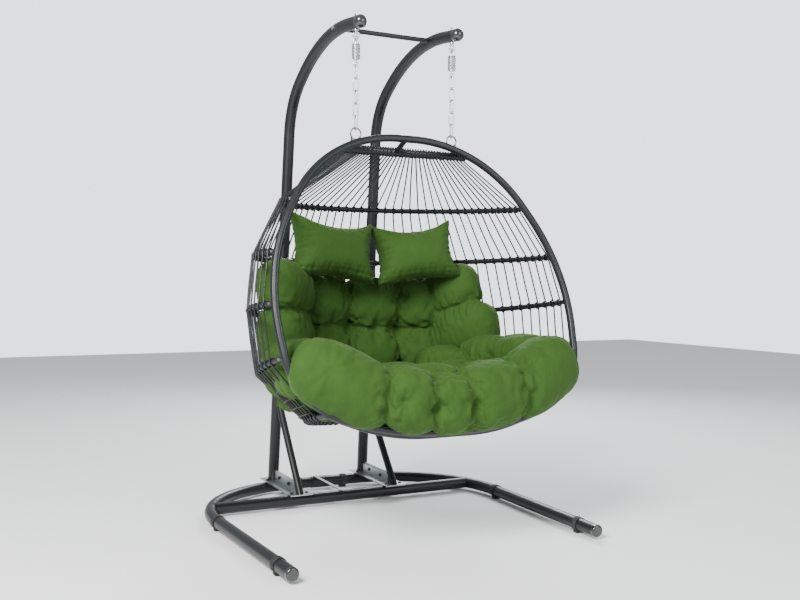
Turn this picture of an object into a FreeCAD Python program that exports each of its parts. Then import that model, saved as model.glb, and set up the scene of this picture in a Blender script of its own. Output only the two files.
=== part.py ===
import FreeCAD, Part
import math
import os

# Two-seat hanging egg chair on a tubular stand.  Millimetres, +Z up, front is -Y,
# the floor is Z = 0.  Y is measured from the hanging line, the line through both
# eye bolts; export() then moves everything so that the origin is on the floor at
# the middle of the footprint.

V = FreeCAD.Vector
os.makedirs("parts", exist_ok=True)

hanging_line_y = -215.5          # the hanging line, from the exported origin

# ---- stand ----
floor_gap = 9.0                  # bottom of the base tubes above the floor
base_tube_r = 24.0
tube_wall = 1.8
leg_tip_x = 608.0                # half distance between the two front tips
leg_tip_y = -414.0
leg_corner_x = 655.0             # where leg and rear tube would meet if unbent
rear_tube_y = 838.0
rear_bend_r = 480.0
rear_sleeve_length = 96.0
rear_sleeve_wall = 2.0
crossbar_r = 24.0
crossbar_y = 530.0
crossbar_sleeve_length = 180.0
tie_width = 16.0
tie_thickness = 4.0
tie_x = -30.0

post_r = 24.0
post_foot_x = 223.0              # half spacing of the two posts at their feet
post_foot_y = 863.0
post_lean_in = 0.0084            # how far each post leans to the middle per unit of height
arm_corner_y = 688.8             # the two corners of the arm before they are bent
arm_corner_z = 1740.6
arm_corner_r = 272.6
arm_crown_y = 331.5
arm_crown_z = 1972.3
arm_crown_r = 729.8
arm_end_y = -30.0
arm_end_z = 1928.0
post_joint_z = 1060.0
post_sleeve_length = 220.0
brace_r = 15.5
brace_wall = 1.6
brace_top_z = 450.0
brace_foot_forward = 12.0        # brace foot in front of the crossbar's middle line

plate_thickness = 5.0
plate_width = 100.0
plate_overhang = 34.0            # base plate past the middle lines of the two tubes
flange_height = 40.0
flange_thickness = 5.0
flange_gap = 1.0                 # flange to post and to brace
web_thickness = 5.0
web_height = 46.0
bolt_r = 4.0
web_bolts = ((0.30, 19.0), (0.74, 22.0))   # share of the flange's length, height above the plate
plate_bolt_spread = 34.0         # base plate bolts to either side of the post
plate_back_extra = 30.0          # the plate runs this much further behind the rear tube
bolt_clearance = 0.3
bolt_head_r = 7.5
bolt_head_height = 5.0
nut_height = 6.5
tube_fit = 0.15                  # radial gap of a sleeve in or on its tube

cross_tube_r = 9.5
cross_tube_y = 160.0
arm_cap_r = 25.5
arm_collar_length = 10.0
arm_plug_gap = 0.6
washer_gap = 2.0                 # eye bolt's flange and nut clear the sloping arm by this
leg_cap_length = 16.0
clip_width = 26.0
clip_thickness = 3.0
pad_half_width = 15.0
clip_along = (110.0, 735.0)      # foot clips, distance from the leg tips
rear_clip_x = 110.0              # foot clips under the rear tube

# ---- hanging gear ----
hang_x = 206.0                   # half distance between the two chains
eye_wire_r = 4.0
eye_ring_r = 11.0                # middle of the wire
eye_drop = 34.0                  # hanging line below the arm's middle line
shank_r = 4.0
hook_wire_r = 2.6
hook_loop_r = 8.4
hook_stem = 9.0
plug_length = 9.0
spring_wire_r = 2.0
spring_outer_r = 16.0
spring_length = 60.0
spring_turns = 11
link_wire_r = 2.6
link_half_width = 9.2            # middle of the wire
link_count = 5
link_gap = 0.45
rim_eye_r = 21.0                 # ring on the rim, middle of its wire
rim_eye_wire_r = 3.2

# ---- basket ----
rim_lean = 0.35                  # rim plane moves back this much per unit of height
rim_bottom_y = -389.0
rim_bottom_z = 440.0
rim_tube_r = 12.7
rim_wrap_r = 14.5
rim_floor = 7.0                  # rim outline, distances along the leaning plane
rim_floor_x = 236.0
rim_low_x = 572.0
rim_low = 130.0
rim_wide_x = 623.6
rim_wide = 613.2
rim_top_x = 334.2
rim_top = 1135.0
hoop_tube_r = 9.5
hoop_wall = 1.2
hoop_wrap_r = 11.0
bare_end = 30.0                  # unwrapped end of each hoop at the rim
# each hoop: height along the rim, downward tilt in degrees, widest half width, depth
hoops = {
    "hoop_1": (866.0, -1.5, 467.0, 580.0),
    "hoop_2": (666.0, 1.8, 585.0, 725.0),
    "hoop_3": (480.0, 6.0, 620.0, 785.0),
    "hoop_4": (290.0, 13.0, 608.0, 780.0),
}
top_hoop_tube_r = 11.0
top_hoop_wrap_r = 16.5
top_hoop_end_x = 275.6
top_hoop_end_w = 1077.0
top_hoop_depth = 112.0
top_hoop_rise = 13.0
top_strut_r = 10.0
pan_w = 92.0                     # seat pan ring, height along the rim
pan_tilt = 11.5
pan_half_width = 452.0
pan_depth = 590.0
pan_ring_r = 13.0
pan_thickness = 4.0
front_tube_r = 10.5
front_tube_back = 31.0           # seat front tube behind the rim
front_tube_drop = 6.0
front_tube_end_w = 250.0
screw_r = 4.5
screw_height = 2.4
cane_r = 3.0
cane_gap = 0.2
canes_per_side = 22
cane_shares = (0.80, 0.93, 0.95, 0.94, 0.92, 0.90)   # share of each hoop, top to pan, that canes cover

# ---- cushions ----
cushion_gap = 2.5
roll_r = 94.0
roll_forward = 38.0
roll_path = ((0.0, 140.0), (300.0, 140.0), (440.0, 165.0), (494.0, 250.0))   # right half, x and height on the rim
seat_front = -300.0
seat_lift = 8.0                  # underside of the seat above the middle of the pan
seat_thickness = 128.0
seat_low_half_width = 385.0
seat_low_depth = 465.0
seat_top_half_width = 500.0
seat_top_depth = 690.0
seat_top_tilt = 7.0
back_thickness = 125.0
back_low_half_width = 525.0
back_low_y = 425.0
back_low_z = 650.0
back_low_front = -20.0
back_top_half_width = 522.0
back_top_y = 490.0
back_top_z = 1000.0
back_top_front = 140.0
pillow_width = 346.0
pillow_height = 212.0
pillow_thickness = 112.0
pillow_x = 181.0
pillow_y = 250.0
pillow_z = 1096.0
pillow_lean = 14.0

base_z = floor_gap + base_tube_r
sides = {"left": -1.0, "right": 1.0}


# ---- geometry helpers ----
def corner_arc(before, at, after, reach):
    """Tangent arc at a corner; reach is how far it starts from the corner."""
    to_before = (before - at).normalize()
    to_after = (after - at).normalize()
    half = 0.5 * to_before.getAngle(to_after)
    middle_line = (to_before + to_after).normalize()
    radius = reach * math.tan(half)
    first = at + to_before * reach
    last = at + to_after * reach
    top = at + middle_line * (reach / math.cos(half) - radius)
    return first, top, last


def bent_wire(points, radii=None):
    """Straight runs joined by tangent arcs; without radii each arc is as large as fits."""
    edges = []
    here = points[0]
    last_index = len(points) - 1
    for i in range(1, last_index):
        before = (points[i] - points[i - 1]).Length * (1.0 if i == 1 else 0.5)
        after = (points[i + 1] - points[i]).Length * (1.0 if i == last_index - 1 else 0.5)
        reach = min(before, after)
        if radii:
            turn = (points[i] - points[i - 1]).getAngle(points[i + 1] - points[i])
            reach = radii[i - 1] * math.tan(turn / 2.0)
        first, top, last = corner_arc(points[i - 1], points[i], points[i + 1], reach)
        if (first - here).Length > 0.01:
            edges.append(Part.LineSegment(here, first).toShape())
        edges.append(Part.Arc(first, top, last).toShape())
        here = last
    if (points[-1] - here).Length > 0.01:
        edges.append(Part.LineSegment(here, points[-1]).toShape())
    return Part.Wire(edges)


def start_of(wire):
    edge = wire.OrderedEdges[0]
    point = wire.OrderedVertexes[0].Point
    first = edge.valueAt(edge.FirstParameter)
    if (first - point).Length < 0.01:
        return point, edge.tangentAt(edge.FirstParameter)
    return point, edge.tangentAt(edge.LastParameter) * -1.0


def bar(wire, radius):
    """Round bar along a wire."""
    point, direction = start_of(wire)
    profile = Part.Wire([Part.makeCircle(radius, point, direction)])
    solid = wire.makePipeShell([profile], True, False)
    return solid if solid.Volume > 0 else solid.reversed()


def tube(wire, radius, wall):
    return bar(wire, radius).cut(bar(wire, radius - wall))


def rod(first, last, radius):
    return Part.makeCylinder(radius, (last - first).Length, first, last - first)


def straight_tube(first, last, radius, wall):
    return rod(first, last, radius).cut(rod(first, last, radius - wall))


def ring(centre, axis, middle_r, wire_r):
    return Part.makeTorus(middle_r, wire_r, centre, axis)


def polygon_prism(points, extrusion):
    return Part.Face(Part.makePolygon(points + [points[0]])).extrude(extrusion)


def hex_prism(centre, axis, radius, height):
    turn = FreeCAD.Rotation(V(0, 0, 1), axis)
    points = []
    for i in range(6):
        corner = V(radius * math.cos(math.radians(60 * i)), radius * math.sin(math.radians(60 * i)), 0)
        points.append(centre + turn.multVec(corner))
    return polygon_prism(points, V(axis).normalize() * height)


def mirrored(shape):
    return shape.mirror(V(0, 0, 0), V(1, 0, 0))


def export(name, *shapes):
    solids = []
    for shape in shapes:
        solids.extend(shape.Solids)
    group = solids[0] if len(solids) == 1 else Part.makeCompound(solids)
    group = group.copy()
    group.translate(V(0, hanging_line_y, 0))
    group.exportStep("parts/" + name + ".step")


def sample(wire, count):
    return [Part.Vertex(p).Point for p in wire.discretize(Number=count)]


# ---- stand ----
def base_wire():
    tip = V(leg_tip_x, leg_tip_y, base_z)
    corner = V(leg_corner_x, rear_tube_y, base_z)
    return bent_wire([tip, corner, V(0, rear_tube_y, base_z)], [rear_bend_r])


def post_x(z):
    return post_foot_x - post_lean_in * z


def arm_point(y, z):
    return V(post_x(z), y, z)


post_slope = (arm_corner_y - post_foot_y) / (arm_corner_z - base_z)


def post_y(z):
    return post_foot_y + post_slope * (z - base_z)


def post_point(z):
    return arm_point(post_y(z), z)


def arm_wire(first_z):
    points = [post_point(first_z), arm_point(arm_corner_y, arm_corner_z),
              arm_point(arm_crown_y, arm_crown_z), arm_point(arm_end_y, arm_end_z)]
    return bent_wire(points, [arm_corner_r, arm_crown_r])


def arm_z_at(y):
    """Height of the arm's middle line at a place in front of its crown."""
    nearest = min(sample(arm_wire(post_joint_z), 400), key=lambda p: abs(p.y - y) + (0 if p.z > 1700 else 1e4))
    return nearest.z


def plate_top():
    return base_z + base_tube_r + plate_thickness


def make_base():
    leg_path = base_wire()
    leg = tube(leg_path, base_tube_r, tube_wall)
    export("base_leg_right", leg)
    export("base_leg_left", mirrored(leg))
    half = rear_sleeve_length / 2.0
    sleeve_r = base_tube_r + tube_fit + rear_sleeve_wall
    export("rear_sleeve", straight_tube(V(-half, rear_tube_y, base_z), V(half, rear_tube_y, base_z),
                                        sleeve_r, rear_sleeve_wall))
    end_x = leg_corner_x
    bar_right = straight_tube(V(0, crossbar_y, base_z), V(end_x, crossbar_y, base_z), crossbar_r, tube_wall)
    bar_right = bar_right.cut(bar(leg_path, base_tube_r))
    bar_right = min(bar_right.Solids, key=lambda s: s.BoundBox.XMin)
    export("crossbar_right", bar_right)
    export("crossbar_left", mirrored(bar_right))
    half = crossbar_sleeve_length / 2.0
    inner_r = crossbar_r - tube_wall - tube_fit
    export("crossbar_sleeve", straight_tube(V(-half, crossbar_y, base_z), V(half, crossbar_y, base_z),
                                            inner_r, tube_wall))
    top = base_z + base_tube_r + rear_sleeve_wall + 2 * tube_fit
    front_top = base_z + crossbar_r
    strap = polygon_prism([V(tie_x - tie_width / 2, crossbar_y - 8, front_top),
                           V(tie_x - tie_width / 2, rear_tube_y, top),
                           V(tie_x - tie_width / 2, rear_tube_y, top + tie_thickness),
                           V(tie_x - tie_width / 2, crossbar_y - 8, front_top + tie_thickness)],
                          V(tie_width, 0, 0))
    export("tie_strap", strap)
    tip, direction = start_of(leg_path)
    cap = rod(tip, tip - direction * leg_cap_length, base_tube_r)
    front_rim = [e for e in cap.Edges if e.CenterOfMass.y < tip.y - leg_cap_length + 1]
    cap = cap.makeFillet(9.0, [e for e in front_rim if e.Curve.TypeId == "Part::GeomCircle"])
    plug = rod(tip, tip + direction * 20.0, base_tube_r - tube_wall - tube_fit)
    cap = cap.fuse(plug).removeSplitter()
    export("leg_caps", cap, mirrored(cap))
    clips = []
    for distance in clip_along:
        clips.append(foot_clip(tip + direction * distance, direction))
    clips.append(foot_clip(V(rear_clip_x, rear_tube_y, base_z), V(1, 0, 0)))
    export("foot_clips", *clips, *[mirrored(clip) for clip in clips])


def foot_clip(middle, along):
    """Strap round a base tube with a flat pad that stands on the floor."""
    first = middle - along * (clip_width / 2.0)
    last = middle + along * (clip_width / 2.0)
    outer_r = base_tube_r + tube_fit + clip_thickness
    band = straight_tube(first, last, outer_r, clip_thickness)
    across = along.cross(V(0, 0, 1)).normalize() * pad_half_width
    corners = [first - across, first + across, last + across, last - across]
    pad = polygon_prism([V(p.x, p.y, 0) for p in corners], V(0, 0, base_z))
    pad = pad.cut(rod(first - along * 40, last + along * 40, outer_r - 0.5 * clip_thickness))
    pad = min(pad.Solids, key=lambda piece: piece.CenterOfMass.z)
    return band.fuse(pad).removeSplitter()


def make_brackets():
    """Per side: base plate with an upright flange, post web bolted to it, post, brace."""
    x = post_x(base_z)
    low = base_z + base_tube_r
    front = crossbar_y - plate_overhang
    back = rear_tube_y + plate_overhang + plate_back_extra
    plate = Part.makeBox(plate_width, back - front, plate_thickness, V(x - plate_width / 2, front, low))
    flange_x = x - web_thickness / 2 - flange_thickness
    flange_front = crossbar_y + brace_foot_forward + 22
    flange_back = post_foot_y - post_r - 6
    flange = Part.makeBox(flange_thickness, flange_back - flange_front, flange_height,
                          V(flange_x, flange_front, low + plate_thickness))
    post_wire = Part.Wire([Part.LineSegment(post_point(plate_top()), post_point(post_joint_z)).toShape()])
    brace_foot = V(x, crossbar_y - brace_foot_forward, plate_top())
    brace_head = post_point(brace_top_z)
    post_bar = bar(post_wire, post_r)
    brace_bar = rod(brace_foot - (brace_head - brace_foot).normalize() * 40, brace_head, brace_r)
    below = Part.makeBox(400, 600, 100, V(x - 200, front - 100, plate_top() - 100))
    brace = brace_bar.cut(post_bar).cut(below)
    brace = brace.cut(rod(brace_foot - (brace_head - brace_foot).normalize() * 50, brace_head,
                          brace_r - brace_wall))
    brace = max(brace.Solids, key=lambda s: s.Volume)
    web = Part.makeBox(web_thickness, post_foot_y - crossbar_y, web_height,
                       V(x - web_thickness / 2, crossbar_y - brace_foot_forward, plate_top()))
    web = web.cut(post_bar.fuse(rod(post_point(plate_top() - 60), post_point(400), post_r)))
    web = web.cut(brace_bar)
    web = max(web.Solids, key=lambda s: s.Volume)
    span = flange_back - flange_front
    bolt_places = [V(0, flange_front + span * share, plate_top() + height) for share, height in web_bolts]
    bolts = []
    nuts = []
    for place in bolt_places:
        first = V(flange_x - 1, place.y, place.z)
        hole = rod(first, V(x + web_thickness, place.y, place.z), bolt_r + bolt_clearance)
        flange = flange.cut(hole)
        web = web.cut(hole)
        bolts.append(hex_prism(V(flange_x, place.y, place.z), V(-1, 0, 0), bolt_head_r, bolt_head_height)
                     .fuse(rod(V(flange_x, place.y, place.z), V(x + web_thickness / 2 + nut_height + 3, place.y, place.z),
                               bolt_r)))
        seat = V(x + web_thickness / 2, place.y, place.z)
        nuts.append(hex_prism(seat, V(1, 0, 0), bolt_head_r, nut_height)
                    .cut(rod(seat - V(1, 0, 0), seat + V(nut_height + 1, 0, 0), bolt_r)))
    for y in (crossbar_y, rear_tube_y):
        for dx in (-plate_bolt_spread, plate_bolt_spread):
            tube_r = crossbar_r if y == crossbar_y else base_tube_r
            hole = rod(V(x + dx, y, low - 1), V(x + dx, y, low + plate_thickness + 1), bolt_r + bolt_clearance)
            plate = plate.cut(hole)
            bolts.append(hex_prism(V(x + dx, y, low + plate_thickness), V(0, 0, 1), bolt_head_r, bolt_head_height)
                         .fuse(rod(V(x + dx, y, low + plate_thickness), V(x + dx, y, base_z + tube_r), bolt_r)))
    brace_room = rod(brace_foot, brace_head, brace_r + flange_gap)
    post_room = rod(post_point(plate_top() - 60), post_point(400), post_r + flange_gap)
    flange = flange.cut(brace_room).cut(post_room)
    flange = max(flange.Solids, key=lambda s: s.Volume)
    bracket = plate.fuse(flange).removeSplitter()
    post = tube(post_wire, post_r, tube_wall)
    post = post.cut(Part.makeBox(400, 200, 60, V(x - 200, post_foot_y - 100, plate_top() - 60)))
    half = post_sleeve_length / 2
    sleeve = straight_tube(post_point(post_joint_z - half), post_point(post_joint_z + half),
                           post_r - tube_wall - tube_fit, tube_wall)
    export("foot_bracket_right", bracket)
    export("foot_bracket_left", mirrored(bracket))
    export("post_web_right", web)
    export("post_web_left", mirrored(web))
    export("bracket_bolts", *bolts, *[mirrored(b) for b in bolts])
    export("bracket_nuts", *nuts, *[mirrored(n) for n in nuts])
    export("lower_post_right", post)
    export("lower_post_left", mirrored(post))
    export("post_sleeves", sleeve, mirrored(sleeve))
    export("brace_right", brace)
    export("brace_left", mirrored(brace))


def make_arms():
    path = arm_wire(post_joint_z)
    solid_arm = bar(path, post_r)
    arm = solid_arm.cut(bar(path, post_r - tube_wall))
    end = arm_point(arm_end_y, arm_end_z)
    direction = (arm_point(arm_end_y, arm_end_z) - arm_point(arm_crown_y, arm_crown_z)).normalize()
    collar = rod(end, end + direction * arm_collar_length, arm_cap_r)
    ball = Part.makeSphere(arm_cap_r, end + direction * arm_collar_length)
    stem = rod(end - direction * 22.0, end, post_r - tube_wall - arm_plug_gap)
    cap = collar.fuse(ball)
    cap = cap.cut(rod(end, end - direction * 60, post_r + 5)).fuse(stem).removeSplitter()
    # eye bolt: vertical shank through the arm, ring below it, washer nut on top
    arm_z = arm_z_at(0.0)
    shank_top = V(hang_x, 0, arm_z + post_r + 9.0)
    hang_z = arm_z - post_r - eye_drop
    eye_centre = V(hang_x, 0, hang_z + eye_ring_r)
    shank = rod(V(hang_x, 0, eye_centre.z + eye_ring_r - eye_wire_r * 0.5), shank_top, shank_r)
    flange = rod(V(hang_x, 0, arm_z - post_r - 6.0), V(hang_x, 0, arm_z - post_r - washer_gap), 9.0)
    eye = ring(eye_centre, V(0, 1, 0), eye_ring_r, eye_wire_r).fuse(shank).fuse(flange).removeSplitter()
    hole = rod(V(hang_x, 0, arm_z - 2 * post_r), V(hang_x, 0, arm_z + 2 * post_r), shank_r + bolt_clearance)
    arm = arm.cut(hole)
    nut_seat = V(hang_x, 0, arm_z + post_r + washer_gap)
    nut = hex_prism(nut_seat, V(0, 0, 1), bolt_head_r, nut_height)
    nut = nut.cut(rod(nut_seat - V(0, 0, 1), nut_seat + V(0, 0, nut_height + 1), shank_r))
    # tube between the arms, held by a bolt through each arm
    cross_z = arm_z_at(cross_tube_y)
    cross = straight_tube(V(-hang_x, cross_tube_y, cross_z), V(hang_x, cross_tube_y, cross_z), cross_tube_r, 1.5)
    cross = cross.cut(solid_arm).cut(mirrored(solid_arm))
    cross = max(cross.Solids, key=lambda s: s.Volume)
    arm_x = post_x(cross_z)
    outside = V(arm_x + post_r + 0.4, cross_tube_y, cross_z)
    side_bolt = hex_prism(outside, V(1, 0, 0), bolt_head_r, bolt_head_height)
    side_bolt = side_bolt.fuse(rod(outside, V(arm_x - post_r - 20, cross_tube_y, cross_z), bolt_r))
    arm = arm.cut(rod(outside + V(9, 0, 0), outside - V(2 * post_r + 8, 0, 0), bolt_r + bolt_clearance))
    export("upper_arm_right", arm)
    export("upper_arm_left", mirrored(arm))
    export("arm_caps", cap, mirrored(cap))
    export("eye_bolts", eye, mirrored(eye))
    export("eye_nuts", nut, mirrored(nut))
    export("top_cross_tube", cross)
    export("cross_tube_bolts", side_bolt, mirrored(side_bolt))
    return hang_z


# ---- hanging gear ----
def chain_link(top, bottom, across, half_width, wire_r):
    """Oblong link; top and bottom are the middles of its two end bends."""
    side = V(across).normalize() * half_width
    up = V(0, 0, half_width)
    wires = []
    for centre, rise in ((top, up), (bottom, up * -1.0)):
        arc = Part.Wire([Part.Arc(centre - side, centre + rise, centre + side).toShape()])
        wires.append(bar(arc, wire_r))
    link = wires[0].fuse(wires[1])
    for sign in (-1.0, 1.0):
        link = link.fuse(rod(top + side * sign, bottom + side * sign, wire_r))
    return link.removeSplitter()


def make_hanging_gear(hang_z, rim_ring_top):
    """Hook in the eye, spring, hook, chain down to the ring on the rim."""
    x = hang_x
    loop_top = hang_z - (hook_loop_r - eye_wire_r - hook_wire_r - 0.35)
    upper_loop = ring(V(x, 0, loop_top), V(1, 0, 0), hook_loop_r, hook_wire_r)
    spring_top = loop_top - hook_loop_r - hook_stem
    plug_r = spring_outer_r - 2 * spring_wire_r - 0.6
    upper = upper_loop.fuse(rod(V(x, 0, loop_top - hook_loop_r), V(x, 0, spring_top), hook_wire_r))
    upper = upper.fuse(rod(V(x, 0, spring_top), V(x, 0, spring_top - plug_length), plug_r)).removeSplitter()
    spring_bottom = spring_top - spring_length
    lower_loop_z = spring_bottom - hook_stem - hook_loop_r
    lower = ring(V(x, 0, lower_loop_z), V(0, 1, 0), hook_loop_r, hook_wire_r)
    lower = lower.fuse(rod(V(x, 0, lower_loop_z + hook_loop_r), V(x, 0, spring_bottom), hook_wire_r))
    lower = lower.fuse(rod(V(x, 0, spring_bottom), V(x, 0, spring_bottom + plug_length), plug_r)).removeSplitter()
    middle_r = spring_outer_r - spring_wire_r
    pitch = (spring_length - 2 * spring_wire_r) / spring_turns
    helix = Part.makeHelix(pitch, pitch * spring_turns, middle_r)
    profile = Part.Wire([Part.makeCircle(spring_wire_r, V(middle_r, 0, 0), V(0, 1, pitch / (2 * math.pi * middle_r)))])
    coil = Part.Wire(helix.Edges).makePipeShell([profile], True, True)
    coil.translate(V(x, 0, spring_bottom + spring_wire_r))
    # links share the drop from the lower hook to the ring on the rim evenly
    chain_top = lower_loop_z - hook_loop_r + hook_wire_r + link_wire_r + link_gap
    chain_bottom = rim_ring_top - rim_eye_wire_r - link_wire_r - link_gap
    overlap = 2 * link_wire_r + link_gap
    length = (chain_top - chain_bottom + (link_count - 1) * overlap) / link_count
    links = []
    for i in range(link_count):
        high = chain_top - i * (length - overlap)
        across = V(0, 1, 0) if i % 2 == 0 else V(1, 0, 0)
        links.append(chain_link(V(x, 0, high - link_half_width), V(x, 0, high - length + link_half_width),
                                across, link_half_width, link_wire_r))
    export("upper_hooks", upper, mirrored(upper))
    export("spring_right", coil)
    export("spring_left", mirrored(coil))
    export("lower_hooks", lower, mirrored(lower))
    export("chain_right", *links)
    export("chain_left", *[mirrored(link) for link in links])
    return spring_top, chain_top


# ---- basket ----
lean_length = math.hypot(1.0, rim_lean)
rim_up = V(0, rim_lean / lean_length, 1.0 / lean_length)
rim_back = V(0, 1.0 / lean_length, -rim_lean / lean_length)
rim_origin = V(0, rim_bottom_y, rim_bottom_z)


def rim_point(x, w, v=0.0):
    return rim_origin + rim_up * w + rim_back * v + V(x, 0, 0)


def rim_half(v=0.0, inset=0.0):
    return bent_wire([rim_point(0, rim_floor + inset, v), rim_point(rim_floor_x, rim_floor + inset, v),
                      rim_point(rim_low_x - inset, rim_low + 0.5 * inset, v),
                      rim_point(rim_wide_x - inset, rim_wide, v),
                      rim_point(rim_top_x - 0.5 * inset, rim_top - inset, v),
                      rim_point(0, rim_top - inset, v)])


def rim_half_width(w):
    nearest = min(sample(rim_half(), 1500), key=lambda p: abs((p - rim_origin).dot(rim_up) - w) + (p.x < 5) * 1e3)
    return nearest.x


def hoop_wire(w, tilt, widest, depth, corner_x=1.045, corner_v=0.372, back_x=0.53):
    """Open hoop in a tilted plane, from the rim round the back to the rim."""
    start = rim_half_width(w)
    back = V(0, math.cos(math.radians(tilt)), -math.sin(math.radians(tilt)))
    origin = rim_point(0, w)
    half = [(start, 0.0), (widest * corner_x, depth * corner_v), (widest * back_x, depth)]
    points = [origin + V(px, 0, 0) + back * pv for px, pv in half]
    other = [origin + V(-px, 0, 0) + back * pv for px, pv in reversed(half)]
    return bent_wire(points + other)


def top_hoop_wire():
    """Short thick hoop under the crown of the rim."""
    end = rim_point(top_hoop_end_x, top_hoop_end_w)
    middle = end + V(0, top_hoop_depth, top_hoop_rise)
    points = [V(end.x, end.y, end.z), V(end.x * 0.72, middle.y, middle.z),
              V(-end.x * 0.72, middle.y, middle.z), V(-end.x, end.y, end.z)]
    return bent_wire(points)


def pan_wire():
    back = V(0, math.cos(math.radians(pan_tilt)), -math.sin(math.radians(pan_tilt)))
    origin = rim_point(0, pan_w)
    start = rim_half_width(pan_w)
    half = [(start, 0.0), (pan_half_width * 1.07, pan_depth * 0.30), (pan_half_width * 0.60, pan_depth)]
    points = [origin + V(px, 0, 0) + back * pv for px, pv in half]
    other = [origin + V(-px, 0, 0) + back * pv for px, pv in reversed(half)]
    return bent_wire(points + other)


def seat_front_wire():
    """Second tube behind the lower half of the rim."""
    right = [rim_point(rim_floor_x, rim_floor - front_tube_drop, front_tube_back),
             rim_point(rim_low_x * 0.90, rim_low - 12.0, front_tube_back),
             rim_point(rim_low_x * 0.93, front_tube_end_w, front_tube_back)]
    return bent_wire([V(-p.x, p.y, p.z) for p in reversed(right)] + right)


def near_rim(depth):
    """Slab along the rim's plane; it reaches the given depth behind the rim."""
    corners = [rim_point(-900.0, -150.0, -150.0), rim_point(900.0, -150.0, -150.0),
               rim_point(900.0, 1350.0, -150.0), rim_point(-900.0, 1350.0, -150.0)]
    return polygon_prism(corners, rim_back * (150.0 + depth))


def widest_solid(shape):
    return max(shape.Solids, key=lambda s: s.BoundBox.XLength)


def make_rim():
    half = rim_half()
    outer = bar(half, rim_wrap_r)
    steel = bar(half, rim_tube_r)
    inside = bar(half, rim_tube_r - 1.5)
    wrap_half = outer.cut(steel)
    steel_half = steel.cut(inside)
    export("rim_wrap", wrap_half.fuse(mirrored(wrap_half)).removeSplitter())
    export("rim_tube", steel_half.fuse(mirrored(steel_half)).removeSplitter())
    return outer.fuse(mirrored(outer))


def rim_eye_place():
    """Middle of the ring that stands on the rim under each chain."""
    top_of_rim = max((p for p in sample(rim_half(), 1500) if abs(p.x - hang_x) < 2.0), key=lambda p: p.z)
    return V(hang_x, 0, top_of_rim.z + rim_wrap_r + rim_eye_r - 1.0), top_of_rim


def make_rim_eyes(rim_solid):
    centre, foot = rim_eye_place()
    eye = ring(centre, V(0, 1, 0), rim_eye_r, rim_eye_wire_r)
    saddle = Part.makeBox(34.0, 16.0, 24.0, V(hang_x - 17.0, centre.y - 8.0, foot.z - 2.0))
    saddle = saddle.cut(Part.makeCylinder(rim_eye_r + 0.5, 40.0, centre - V(0, 20.0, 0), V(0, 1, 0)))
    eye = eye.fuse(saddle).removeSplitter().cut(rim_solid)
    eye = max(eye.Solids, key=lambda s: s.Volume)
    export("rim_eyes", eye, mirrored(eye))


def make_hoops(rim_solid):
    wires = {}
    screws = []
    for name, values in hoops.items():
        wire = hoop_wire(*values)
        wires[name] = wire
        steel = bar(wire, hoop_tube_r)
        hollow = steel.cut(bar(wire, hoop_tube_r - hoop_wall)).cut(rim_solid)
        export(name + "_tube", widest_solid(hollow))
        wrap = bar(wire, hoop_wrap_r).cut(steel).cut(near_rim(rim_wrap_r + bare_end))
        export(name + "_wrap", widest_solid(wrap))
        point = wire.discretize(Distance=rim_wrap_r + 11.0)[1]
        outward = V(1, 0, 0)
        seat = point + outward * hoop_tube_r
        screws.append(rod(seat - outward * 1.0, seat + outward * screw_height, screw_r).cut(steel))
    export("hoop_screws", *screws, *[mirrored(s) for s in screws])
    top = top_hoop_wire()
    top_steel = bar(top, top_hoop_tube_r).cut(rim_solid)
    export("top_hoop_tube", widest_solid(top_steel))
    top_bar = bar(top, top_hoop_wrap_r)
    top_wrap = top_bar.cut(bar(top, top_hoop_tube_r)).cut(near_rim(rim_wrap_r + 3.0))
    export("top_hoop_wrap", widest_solid(top_wrap))
    crown = rim_point(0, rim_top)
    back = V(0, rim_point(0, top_hoop_end_w).y + top_hoop_depth, rim_point(0, top_hoop_end_w).z + top_hoop_rise)
    strut = rod(crown, back, top_strut_r).cut(rim_solid).cut(top_bar)
    export("top_strut", max(strut.Solids, key=lambda s: s.Volume))
    wires["top_hoop"] = top
    return wires


def make_pan(rim_solid):
    wire = pan_wire()
    ring_bar = bar(wire, pan_ring_r)
    front_bar = bar(seat_front_wire(), front_tube_r)
    ring_part = widest_solid(ring_bar.cut(rim_solid).cut(front_bar))
    export("pan_ring", ring_part)
    export("seat_front_tube", widest_solid(front_bar.cut(rim_solid)))
    back = V(0, math.cos(math.radians(pan_tilt)), -math.sin(math.radians(pan_tilt)))
    up = V(0, math.sin(math.radians(pan_tilt)), math.cos(math.radians(pan_tilt)))
    edge = sample(wire, 61)
    face = Part.Face(Part.makePolygon(edge + [edge[0]]))
    panel = face.extrude(up * pan_thickness)
    panel.translate(up * (-pan_thickness / 2.0))
    panel = panel.cut(bar(wire, pan_ring_r)).cut(front_bar).cut(rim_solid)
    panel = max(panel.Solids, key=lambda s: s.Volume)
    export("pan_weave", panel)
    return wire


def row_points(wire, count, share):
    """Evenly spaced points over the middle share of a hoop, left to right."""
    points = sample(wire, 1201)
    if points[0].x > points[-1].x:
        points.reverse()
    places = []
    for i in range(count):
        s = 0.5 + share * 0.5 * (2.0 * i / (count - 1) - 1.0)
        position = s * 1200
        low = int(math.floor(position))
        low = min(low, 1199)
        places.append((points[low] + (points[low + 1] - points[low]) * (position - low),
                       (points[low + 1] - points[low]).normalize()))
    return places


def cane(upper, upper_dir, upper_r, lower, lower_dir, lower_r):
    direction = (lower - upper).normalize()

    def stand_off(along, radius):
        cosine = abs(direction.dot(along))
        sine = math.sqrt(1.0 - cosine * cosine)
        return (radius + cane_gap + cane_r * cosine) / sine

    first = upper + direction * stand_off(upper_dir, upper_r)
    last = lower - direction * stand_off(lower_dir, lower_r)
    return rod(first, last, cane_r)


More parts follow.
